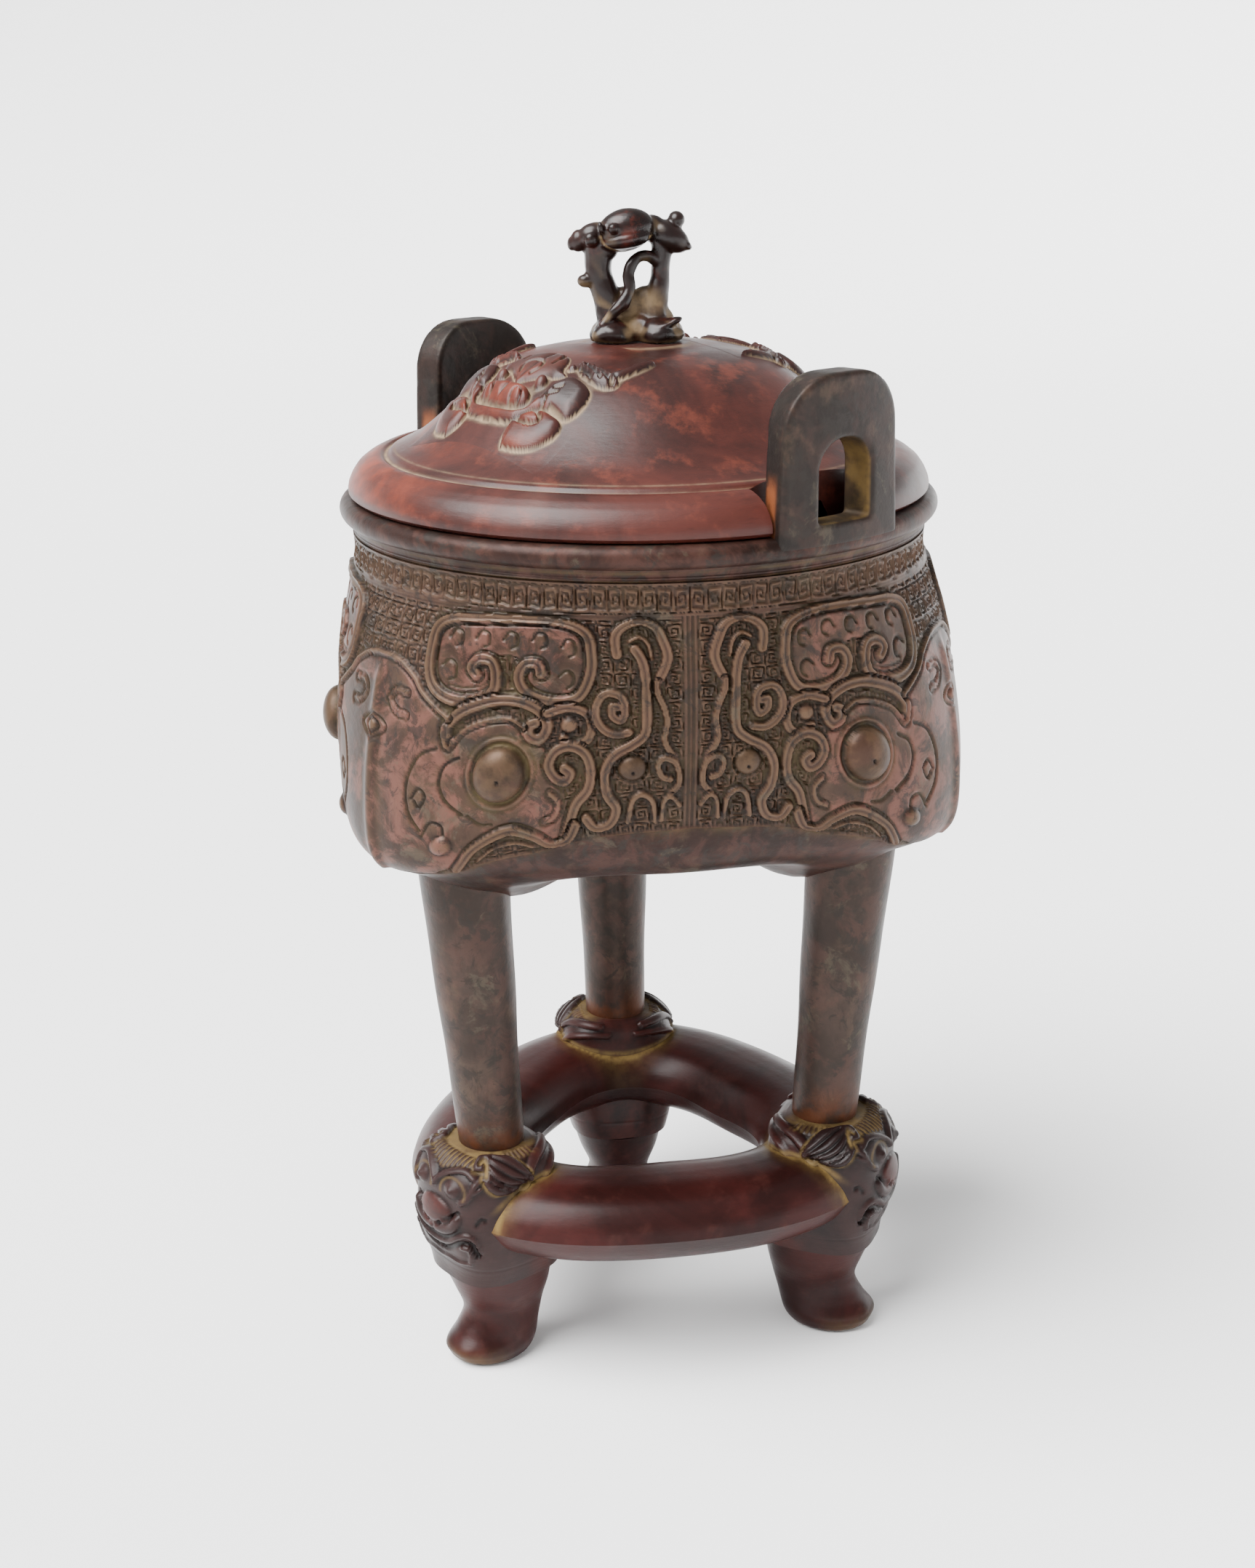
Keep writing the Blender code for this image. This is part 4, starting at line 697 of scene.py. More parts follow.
def vessel_handle(name, side, material):
    """One upright loop handle, softened like a cast edge and bent with the rim."""
    curve = bpy.data.curves.new(name, "CURVE")
    curve.dimensions = "2D"
    curve.fill_mode = "BOTH"
    curve.extrude = HANDLE_THICKNESS / 2 - HANDLE_BEVEL
    curve.bevel_depth = HANDLE_BEVEL
    curve.bevel_resolution = 3
    curve.offset = -HANDLE_BEVEL
    outer = arch_outline(HANDLE_WIDTH, HANDLE_TOP_WIDTH, -0.6 * LIP_HEIGHT, HANDLE_HEIGHT - 0.0002, HANDLE_CORNER)
    opening = arch_outline(HANDLE_OPENING_WIDTH, HANDLE_OPENING_WIDTH, HANDLE_OPENING_RISE,
                           HANDLE_OPENING_RISE + HANDLE_OPENING_HEIGHT, 0.47 * HANDLE_OPENING_WIDTH)
    for outline in (outer, opening[::-1]):
        line = curve.splines.new("POLY")
        line.points.add(len(outline) - 1)
        for point, (x, y) in zip(line.points, outline):
            point.co = (x, y, 0.0, 1.0)
        line.use_cyclic_u = True
    holder = link(name, curve)
    rough = link(name + "_rough", evaluated(holder))
    bpy.data.objects.remove(holder, do_unlink=True)
    bm = bmesh.new()
    bm.from_mesh(rough.data)
    bmesh.ops.remove_doubles(bm, verts=bm.verts, dist=0.00001)
    bm.to_mesh(rough.data)
    bm.free()
    mesh = melted(rough, HANDLE_VOXEL, 2, 0.4)
    middle = RIM_RADIUS - 0.0002 - HANDLE_THICKNESS / 2
    x, y, z = vertex_values(mesh, "co").T
    turn = x / middle
    radius = middle + z
    placed = np.stack((side * radius * np.cos(turn), side * radius * np.sin(turn), LIP_TOP_Z + y), axis=-1)
    mesh.vertices.foreach_set("co", placed.ravel())
    # Copper shows at the foot of the narrow sides, and dust lies in the loop, most at its bottom; the lit inner wall
    # of the loop gets more of the dust colour, painted light
    narrow_side = smooth_step((np.abs(x) - 0.0148) / 0.0012) * smooth_step((0.0150 - y) / 0.006)
    store(mesh, "wear", narrow_side * smooth_step((0.0032 - np.abs(z + 0.0008)) / 0.002))
    over_sill = y > HANDLE_OPENING_RISE - 0.0008
    low = smooth_step((HANDLE_OPENING_RISE + 0.003 - y) / 0.003) * over_sill
    in_loop = (np.abs(x) <= HANDLE_OPENING_WIDTH / 2 + 0.0002) * over_sill * (y < 0.0240)
    in_loop = in_loop * smooth_step((HANDLE_THICKNESS / 2 - 0.0004 - np.abs(z)) / 0.0005)
    lit_wall = smooth_step((side * x - 0.004) / 0.003)
    store(mesh, "dust", np.clip(in_loop * (0.20 + 0.70 * lit_wall + 0.9 * low), 0, 1))
    handle = link(name, mesh, material)
    face_out(mesh)
    shade(handle, 60.0)
    return handle


# Cover

def cover_height(radius):
    """Height of the cover's plain outer surface over its base."""
    r = COVER_PROFILE[:, 0] * COVER_FLANGE_RADIUS
    return np.interp(radius, r, COVER_PROFILE[:, 1] * COVER_HEIGHT)


def smooth_cover_height(radius):
    """The same surface with its corners eased, apart from the groove."""
    radius = np.asarray(radius, float)
    offsets = np.linspace(-1.0, 1.0, 9)
    weights = 1 - 0.9 * np.abs(offsets)
    reach = 0.0030 * smooth_step((0.060 - radius) / 0.010) + 0.00045
    total = sum(w * cover_height(np.abs(radius + o * reach)) for o, w in zip(offsets, weights))
    return total / weights.sum()


def cover_body(material):
    """The turned cover with groove, flange, tongue, hollow and the two handle notches."""
    angles = np.arange(0, 360, 1.8)
    rows, dusts, worn = [], [], []
    for share in np.concatenate((np.linspace(0.004, 0.82, 56), np.linspace(0.83, 0.90, 26),
                                 np.linspace(0.91, 0.996, 16))):
        radius = share * COVER_FLANGE_RADIUS
        rows.append(ring_points(radius, COVER_BASE + smooth_cover_height(radius), angles))
        groove = math.exp(-((share - COVER_GROOVE) / 0.0058) ** 2)
        bead = 0.30 * math.exp(-((share - COVER_BEAD) / 0.004) ** 2)
        top = 0.5 * math.exp(-((share - COVER_SEAT) / 0.012) ** 2)
        dusts.append(np.full(angles.shape, min(1.0, groove + bead + top)))
        # A red patch on the flange's left and on the dome above it: partly worn red, partly a painted glow where the
        # light falls
        around = (angles - COVER_GLOW_ANGLE + 180.0) % 360.0 - 180.0
        worn.append(np.exp(-(around / 26.0) ** 2) * smooth_step((share - 0.87) / 0.04)
                    + 0.7 * np.exp(-((around - 12.0) / 20.0) ** 2) * smooth_step(1 - abs(share - 0.70) / 0.14))
    for share, up in ((0.9995, 0.050), (0.998, 0.025), (0.985, 0.0)):
        rows.append(ring_points(share * COVER_FLANGE_RADIUS, COVER_BASE + up * COVER_HEIGHT, angles))
    tongue_outer = MOUTH_RADIUS - COVER_TONGUE_CLEARANCE
    tongue_inner = tongue_outer - COVER_TONGUE_WALL
    for radius, height in ((tongue_outer, COVER_BASE), (tongue_outer, COVER_BASE - COVER_TONGUE_DEPTH),
                           (tongue_inner, COVER_BASE - COVER_TONGUE_DEPTH)):
        rows.append(ring_points(radius, height, angles))
    for share in np.linspace(0.99, 0.02, 26):
        radius = tongue_inner * share
        height = max(float(smooth_cover_height(radius)) - COVER_WALL, 0.0)
        rows.append(ring_points(radius, COVER_BASE + height, angles))
    while len(dusts) < len(rows):
        dusts.append(np.zeros(angles.shape))
        worn.append(np.zeros(angles.shape))
    cover = turned_grid("cover_body", rows, material, fields={"dust": np.array(dusts), "red_and_glow": np.array(worn)})
    for side in (-1, 1):
        inner = RIM_RADIUS - HANDLE_THICKNESS - NOTCH_DEPTH_BEHIND_HANDLE
        outer = RIM_RADIUS + HANDLE_THICKNESS
        bpy.ops.mesh.primitive_cube_add(size=1.0)
        cutter = bpy.context.object
        cutter.dimensions = (outer - inner, HANDLE_WIDTH + 2 * NOTCH_CLEARANCE, 3 * COVER_HEIGHT)
        cutter.location = (side * (inner + outer) / 2, 0.0, LIP_TOP_Z + COVER_HEIGHT)
        bpy.context.view_layer.update()
        cut = cover.modifiers.new("Notch", "BOOLEAN")
        cut.operation = "DIFFERENCE"
        cut.object = cutter
        cut.solver = "EXACT"
        mesh = evaluated(cover)
        cover.modifiers.clear()
        cover.data = mesh
        bpy.data.objects.remove(cutter, do_unlink=True)
    shade(cover, 35.0)
    return cover


# Mask of the cover, right half: rise and softness of the edge in millimetres, then the outline in millimetres
# to the side and from the axis
MASK_FORMS = (
    # Forehead and brow block
    (1.5, 2.2, ((-0.5, 23.6), (4.0, 24.2), (7.4, 27.0), (9.6, 30.2), (11.8, 31.2), (9.6, 33.0), (6.4, 33.6),
        (4.0, 35.0), (1.6, 36.2), (-0.5, 36.4))),
    # Cheek
    (2.6, 2.6, ((11.4, 39.2), (11.6, 36.4), (12.8, 33.4), (14.8, 31.2), (18.8, 31.0), (21.8, 31.9), (22.9, 34.6),
        (22.7, 37.2), (21.4, 39.2), (17.6, 39.9), (14.0, 40.6))),
    # Lip that runs into the cheek
    (2.2, 1.2, ((-0.5, 44.0), (4.0, 43.8), (7.8, 43.2), (10.4, 41.6), (11.2, 39.0), (13.6, 38.6), (13.8, 40.8),
        (11.8, 43.6), (8.4, 45.3), (4.0, 46.0), (-0.5, 46.1))),
    # Lock at the corner of the jaw
    (2.6, 2.0, ((11.2, 50.4), (9.4, 48.4), (9.0, 46.0), (9.8, 44.0), (12.6, 41.7), (15.6, 40.6), (18.4, 40.3),
        (21.2, 40.3), (22.2, 41.7), (21.9, 44.1), (19.6, 47.4), (15.9, 49.4))),
    # Nose
    (3.1, 2.3, ((-0.5, 38.0), (4.6, 38.0), (7.8, 38.9), (8.9, 40.7), (7.4, 42.3), (4.4, 42.9), (-0.5, 42.9))),
    # Ear
    (2.4, 1.7, ((11.8, 27.8), (12.8, 26.0), (16.8, 25.2), (20.8, 25.0), (23.2, 24.8), (24.8, 26.0), (24.2, 27.8),
        (22.2, 29.1), (18.8, 29.6), (15.0, 29.2))),
    # Horn
    (1.7, 1.1, ((20.6, 25.2), (21.8, 21.2), (22.2, 17.2), (23.4, 13.6), (24.4, 16.8), (24.2, 20.8), (23.2, 24.8))),
    # Boss at the root of the ear
    (1.4, 0.8, ((9.9, 28.4), (10.6, 27.5), (11.6, 27.7), (11.8, 28.7), (10.9, 29.4), (10.1, 29.2))),
)
# Grooves over the forms: width, depth, path
MASK_CUTS = (
    (1.0, 1.5, ((9.9, 45.0), (11.0, 43.4), (13.0, 42.0), (15.8, 42.2), (17.0, 43.3), (15.9, 44.5), (13.0, 45.2),
        (10.4, 45.2))),
    (0.7, 1.1, ((16.2, 39.6), (18.8, 39.6), (22.4, 39.8))),
    (0.6, 0.8, ((14.4, 36.5), (15.9, 35.4))),
    (0.6, 0.8, ((14.3, 37.9), (15.8, 36.8))),
    (0.7, 1.0, ((13.6, 28.2), (18.4, 28.8))),
    (0.7, 1.0, ((14.4, 27.0), (20.8, 27.9))),
    (0.7, 1.0, ((16.8, 26.0), (22.4, 27.0))),
    (1.3, 1.8, ((23.2, 26.6), (23.6, 27.0))),
    (0.8, 0.9, ((10.6, 33.6), (11.4, 32.0), (12.6, 31.4))),
    (0.7, 0.8, ((11.2, 34.4), (13.4, 32.6))),
    (0.7, 0.7, ((3.4, 24.8), (5.2, 27.2), (5.6, 30.0))),
    (0.7, 0.7, ((0.0, 29.2), (2.4, 30.4), (3.2, 32.4), (2.0, 34.2))),
)
MASK_EYE = ((7.8, 35.6), 1.65, 2.2)
MASK_NOSTRIL = ((5.4, 41.6), 1.35)
MASK_HALF_WIDTH = 26.5
MASK_NEAR = 9.5
MASK_FAR = 52.5
MASK_COLUMNS = 170
MASK_ROWS = 138
MASK_BACK_ROWS = 12
MASK_SINK = 1.6


def cover_mask(name, side, material):
    """One carved beast mask of the cover as a closed plate whose rim dips into the dome."""
    x, y = np.meshgrid(np.linspace(-MASK_HALF_WIDTH, MASK_HALF_WIDTH, MASK_COLUMNS),
                       np.linspace(MASK_NEAR, MASK_FAR, MASK_ROWS))
    half = np.abs(x)
    height = np.zeros(x.shape)
    outline = np.full(x.shape, 4.0)
    for rise, soft, points in MASK_FORMS:
        inside = signed_distance(half, y, rounded_path(points + points[:1])[:-1], 4.0)
        moat = smooth_step(1 - np.abs(inside + 0.25) / 0.45)
        height = np.where(inside < 0, height * (1 - 0.45 * moat), height)
        height = np.maximum(height, rise * quarter_round(inside / soft) * (0.82 + 0.18 * smooth_step(inside / 3.0)))
        outline = np.minimum(outline, np.abs(np.minimum(inside, 0)))
    (eye_x, eye_y), eye_radius, eye_rise = MASK_EYE
    away = np.hypot(half - eye_x, y - eye_y) / eye_radius
    height = height * smooth_step((away - 1.0) / 0.9)
    height = np.maximum(height, eye_rise * half_ball(away))
    (nostril_x, nostril_y), nostril_radius = MASK_NOSTRIL
    away = np.hypot(half - nostril_x, y - nostril_y) / nostril_radius
    height = height - 0.8 * smooth_step(1 - np.abs(away - 1.15) / 0.35)
    height = np.where(away < 1.0, height + 0.5 * half_ball(away), height)
    for width, depth, points in MASK_CUTS:
        away = distance_to_path(half, y, rounded_path(points), width * 2)[0]
        height = height - np.minimum(depth, height * 0.8) * smooth_step((width / 2 + 0.3 - away) / 0.5)

    # Round the mask a thin film lies on the dome, and its border dips under it
    on_dome = outline > 0.0
    border = np.minimum.reduce((MASK_HALF_WIDTH - half, y - MASK_NEAR, MASK_FAR - y))
    film = 0.05 * smooth_step(border / 2.0) - 0.12 * (1 - smooth_step(border / 1.2))
    level = np.where(on_dome & (height <= 0.03), film, np.maximum(height, 0.03))
    dome = COVER_BASE + smooth_cover_height(np.hypot(x, y) * MM)
    picks = np.unique(np.linspace(0, MASK_ROWS - 1, MASK_BACK_ROWS).astype(int))
    front, back = (np.stack((side * x * MM, -side * y * MM, z), axis=-1)
                   for z in (dome + level * MM, dome - MASK_SINK * MM))

    cavity = np.clip((blurred(height, 3) - height) * 1.5 - 0.25, 0, 1)
    rim = np.where(on_dome, smooth_step(1 - np.abs(outline - 0.1) / 0.34), 0.0) * smooth_step((y - 22.0) / 12.0 + 0.5)
    lip_and_jaw = (0.45 * smooth_step(1.5 - np.hypot(half, y - 40.5) / 8.0)
                   + 0.45 * smooth_step(1.5 - np.hypot(half - 15.0, y - 46.0) / 6.5))
    red = smooth_step(height / 1.2) * np.clip(lip_and_jaw, 0, 1)
    # Painted shade: the hollows and the raised forms are darkened, less where the red lies
    painted_shade = (blurred(height, 2) - height) * 1.8 + 0.70 * smooth_step(height / 0.6) * (1 - 0.6 * red)
    masks = {"dust": np.clip(0.9 * cavity + 0.75 * rim, 0, 1) * smooth_step(border / 2.5),
             "painted_shade": np.clip(painted_shade, 0, 1), "red_and_glow": red}
    return closed_plate(name, front, back[picks], picks, masks, material, 70.0)


# Finial, in shares of its height: centre, half sizes and tilt in degrees

FINIAL_TURN = 51.0
FINIAL_LUMPS = (
    # Rock with a rolled leaf
    ((-0.17, -0.02, 0.06), (0.19, 0.23, 0.12), 0.0),
    ((0.17, 0.00, 0.06), (0.19, 0.25, 0.13), 0.0),
    ((0.00, 0.06, 0.09), (0.26, 0.22, 0.14), 0.0),
    ((0.11, 0.03, 0.20), (0.19, 0.11, 0.13), 25.0),
    ((-0.27, -0.16, 0.05), (0.09, 0.08, 0.06), 0.0),
    ((0.20, -0.13, 0.12), (0.17, 0.10, 0.040), -22.0),
    ((0.27, -0.08, 0.06), (0.10, 0.13, 0.06), 0.0),
    ((-0.08, 0.02, 0.25), (0.13, 0.10, 0.16), -8.0),
    ((0.07, 0.03, 0.27), (0.14, 0.09, 0.14), 12.0),
    # Main cap with its snout and eye
    ((-0.08, -0.06, 0.835), (0.225, 0.15, 0.160), -14.0),
    ((-0.07, -0.10, 0.770), (0.20, 0.13, 0.075), -10.0),
    ((-0.33, -0.03, 0.800), (0.130, 0.10, 0.090), -25.0),
    ((-0.34, -0.12, 0.770), (0.055, 0.05, 0.055), 0.0),
    ((-0.44, -0.01, 0.755), (0.065, 0.08, 0.085), 0.0),
    ((-0.49, 0.00, 0.735), (0.035, 0.06, 0.055), 0.0),
    ((-0.26, 0.00, 0.680), (0.120, 0.10, 0.090), 0.0),
    ((-0.17, -0.205, 0.855), (0.040, 0.035, 0.040), 0.0),
    ((-0.265, -0.17, 0.860), (0.022, 0.03, 0.050), -15.0),
    # Cap that points right, with its knob
    ((0.12, 0.02, 0.840), (0.110, 0.10, 0.105), 0.0),
    ((0.25, 0.02, 0.780), (0.180, 0.13, 0.105), 32.0),
    ((0.37, 0.01, 0.720), (0.070, 0.07, 0.038), 35.0),
    ((0.31, 0.04, 0.900), (0.065, 0.08, 0.065), 0.0),
    # Bud on the left stem
    ((-0.39, -0.02, 0.455), (0.070, 0.07, 0.055), 0.0),
)
# Radii along each stem, then the points that it follows
FINIAL_STEMS = (
    ((0.120, 0.110, 0.100, 0.105, 0.110), ((-0.19, 0.02, 0.10), (-0.20, 0.00, 0.25), (-0.25, 0.00, 0.38),
                                           (-0.29, 0.00, 0.50), (-0.29, 0.00, 0.62), (-0.30, 0.00, 0.75))),
    ((0.030, 0.048, 0.048, 0.044, 0.052), ((-0.27, -0.17, 0.12), (-0.19, -0.16, 0.22), (-0.10, -0.14, 0.30),
                                           (-0.05, -0.11, 0.40), (-0.06, -0.09, 0.52), (0.00, -0.07, 0.62),
                                           (0.09, -0.05, 0.64), (0.18, 0.00, 0.58))),
    ((0.150, 0.125, 0.088, 0.072, 0.075, 0.090), ((0.13, 0.03, 0.10), (0.13, 0.03, 0.24), (0.165, 0.02, 0.37),
                                                  (0.185, 0.02, 0.48), (0.19, 0.02, 0.60), (0.20, 0.02, 0.76))),
)


def tube_rings(points, radii):
    """Return the rings of a tapering tube along a smooth path."""
    path = rounded_path(points, 6)
    sizes = np.interp(np.linspace(0, 1, len(path)), np.linspace(0, 1, len(radii)), radii)
    tangent = np.gradient(path, axis=0)
    tangent /= np.linalg.norm(tangent, axis=1, keepdims=True)
    aside = np.cross(tangent, (0.0, 1.0, 0.0))
    aside /= np.linalg.norm(aside, axis=1, keepdims=True)
    other = np.cross(tangent, aside)
    turn = np.linspace(0, 2 * math.pi, STEM_SIDES, endpoint=False)
    return path[:, None] + sizes[:, None, None] * (np.cos(turn)[None, :, None] * aside[:, None]
                                                   + np.sin(turn)[None, :, None] * other[:, None])


def cover_finial(material):
    """The openwork finial: caps on twisting stems over a rock, melted into one form."""
    size = FINIAL_HEIGHT
    bm = bmesh.new()
    for centre, half_sizes, turn in FINIAL_LUMPS:
        matrix = (Matrix.Translation([size * v for v in centre]) @ Matrix.Rotation(math.radians(turn), 4, "Y")
                  @ Matrix.Diagonal([size * v for v in half_sizes] + [1.0]))
        bmesh.ops.create_uvsphere(bm, u_segments=24, v_segments=16, radius=1.0, matrix=matrix)
    for radii, points in FINIAL_STEMS:
        rings = tube_rings(np.array(points) * size, [size * v for v in radii])
        made = [[bm.verts.new(point) for point in ring] for ring in rings]
        for low, high in zip(made[:-1], made[1:]):
            for i in range(len(low)):
                j = (i + 1) % len(low)
                bm.faces.new((low[i], low[j], high[j], high[i]))
        bm.faces.new(made[0][::-1])
        bm.faces.new(made[-1])
    bmesh.ops.recalc_face_normals(bm, faces=bm.faces)
    mesh = bpy.data.meshes.new("finial_forms")
    bm.to_mesh(mesh)
    bm.free()
    mesh = melted(link("finial_forms", mesh), FINIAL_VOXEL, 3, 0.5)
    points, normals = vertex_values(mesh, "co"), vertex_values(mesh, "normal")
    x, y, z = points.T / size

    # Folds, deepest on the rock, and a groove under the cap's edge
    rocky = smooth_step((0.34 - z) / 0.12)
    fold = (np.sin(17 * x + 9 * z + 1.0) * np.sin(13 * z - 11 * y + 2.0)
            + 0.6 * np.sin(29 * y + 21 * x) * np.sin(33 * z + 7 * x))
    carve = (0.09 + 0.26 * rocky + 0.10 * smooth_step((0.62 - z) / 0.1)) * fold
    under_cap = (y < -0.06) * (z < 0.80) * (np.abs(x + 0.08) < 0.21)
    from_cap = np.hypot((x + 0.08) / 0.21, (z - 0.80) / 0.135)
    carve -= 0.32 * smooth_step(1 - np.abs(from_cap - 0.92) / 0.09) * under_cap
    points = points + normals * (carve * 0.8 * MM)[:, None]
    points[:, 2] = np.clip(points[:, 2], 0.0, None) + (COVER_BASE + COVER_HEIGHT + FINIAL_GAP)
    mesh.vertices.foreach_set("co", turned(points, FINIAL_TURN).ravel())
    hollow = np.clip(-carve * 3.0 - 0.15, 0, 1) + 0.5 * smooth_step((0.035 - z) / 0.03)
    web = smooth_step(1.2 - np.hypot((x - 0.04) / 0.22, (z - 0.30) / 0.13)) * (y < 0.05) * (y > -0.12)
    store(mesh, "dust", np.clip(hollow + 0.9 * web, 0, 1))
    finial = link("finial_carving", mesh, material)
    face_out(mesh)
    shade(finial, 80.0)
    return finial


# Beast heads of the stand, in shares of a head's height: distance from its axis and level, from the top down.
# Chart of half a head: degrees from the face, step down the profile.

HEAD_FRONT = np.array((
    (0.27, 0.985), (0.37, 0.950), (0.46, 0.870), (0.500, 0.760), (0.495, 0.640), (0.505, 0.500), (0.500, 0.360),
    (0.460, 0.220), (0.425, 0.100), (0.410, 0.000)))
HEAD_SIDE = np.array((
    (0.27, 0.985), (0.36, 0.950), (0.435, 0.870), (0.465, 0.740), (0.480, 0.610), (0.480, 0.470), (0.465, 0.330),
    (0.450, 0.200), (0.425, 0.090), (0.400, 0.000)))
HEAD_BACK = np.array((
    (0.27, 0.985), (0.34, 0.950), (0.375, 0.870), (0.390, 0.740), (0.405, 0.610), (0.415, 0.470), (0.430, 0.330),
    (0.445, 0.200), (0.450, 0.090), (0.450, 0.000)))
HEAD_SQUARENESS = 3.0
# Millimetres for a degree and for a step of the chart
HEAD_SCALE = (0.31, 4.40)
# Ridges: width and rise in millimetres, then the path
HEAD_RIDGES = (
    # Brow, and the tuft behind the eye
    (1.9, 1.25, ((-1.5, 2.75), (5.0, 2.15), (13.0, 1.72), (24.0, 1.42), (33.0, 1.42), (41.0, 1.75))),
    (1.7, 0.95, ((46.0, 1.75), (41.5, 2.10), (39.5, 2.50), (35.5, 3.00), (29.5, 3.40))),
    (1.0, 0.70, ((46.0, 2.35), (40.5, 2.60))),
    # Nostril lobe
    (2.6, 1.30, ((3.0, 5.35), (12.0, 5.30), (21.0, 5.00), (25.5, 4.50))),
    # Lips and chin
    (1.4, 0.90, ((-1.5, 6.10), (8.0, 6.05), (18.0, 5.85), (27.0, 5.42), (35.0, 5.22), (41.0, 5.45), (44.0, 6.10))),
    (1.5, 0.75, ((35.0, 7.00), (37.0, 6.50), (36.0, 6.05), (30.0, 6.00))),
    (1.1, 0.55, ((-1.5, 7.20), (12.0, 7.10), (24.0, 7.15), (33.0, 7.05))),
    # Roll of the collar and the drop behind it
    (3.0, 1.20, ((152.0, 0.95), (132.0, 0.85), (111.0, 1.15), (99.0, 1.60), (91.0, 2.15), (85.0, 2.75))),
    (2.2, 0.90, ((163.0, 1.75), (140.0, 1.75), (122.0, 2.05), (110.0, 2.60), (103.0, 3.30))),
)
HEAD_EAR = (
    (37.0, 0.75), (39.0, 0.30), (46.0, 0.12), (56.0, 0.14), (66.0, 0.36), (78.0, 0.62), (87.0, 1.20), (92.0, 1.80),
    (95.0, 2.45), (88.0, 2.52), (80.0, 2.62), (70.0, 2.82), (60.0, 2.80), (53.0, 2.45), (48.0, 1.85), (47.0, 1.35),
    (43.0, 1.30), (38.0, 1.20))
HEAD_EAR_HOLE = ((43.5, 0.85), (47.0, 0.70), (50.0, 1.00), (50.0, 1.55))
# Grooves: width and depth in millimetres, then the path
HEAD_CUTS = (
    (0.8, 0.80, ((55.0, 0.50), (66.0, 0.90), (80.0, 1.60), (91.0, 2.25))),
    (0.8, 0.80, ((53.0, 0.85), (62.0, 1.35), (75.0, 2.00), (89.0, 2.42))),
    (0.8, 0.80, ((53.0, 1.30), (59.0, 1.80), (70.0, 2.35), (84.0, 2.52))),
    (0.7, 0.70, ((54.0, 1.85), (60.0, 2.30), (70.0, 2.66))),
    (1.3, 1.10, HEAD_EAR_HOLE),
    (1.2, 0.90, ((2.0, 6.55), (14.0, 6.40), (26.0, 5.90), (34.0, 5.72))),
    (1.7, 1.30, ((38.5, 5.75), (42.0, 6.35))),
    (0.9, 0.60, ((42.5, 4.55), (46.0, 4.25), (49.0, 4.30))),
    (1.0, 0.80, ((6.0, 5.05), (9.5, 4.90))),
    (0.9, 0.60, ((14.0, 4.65), (22.0, 4.35), (27.0, 4.10))),
)
HEAD_EYE = (20.0, 2.72)
HEAD_NOSE_STEP = 4.45
HEAD_JOINT_STEP = 7.55
HEAD_TURN_STEP = 1.5
HEAD_ROWS = 110


def head_surface(turn, step):
    """Return points of a head's smooth surface in its own frame."""
    front, side, back = (spline(profile, step) for profile in (HEAD_FRONT, HEAD_SIDE, HEAD_BACK))
    bow, swing = np.cos(np.radians(turn)), np.sin(np.radians(turn))
    along = np.where(bow >= 0, front[..., 0], back[..., 0])
    power = HEAD_SQUARENESS
    reach = (np.abs(bow / along) ** power + np.abs(swing / side[..., 0]) ** power) ** (-1 / power)
    facing = 0.5 + 0.5 * bow
    level = side[..., 1] + (front[..., 1] - side[..., 1]) * facing ** 2
    return np.stack((reach * bow, reach * swing, level), axis=-1) * HEAD_HEIGHT


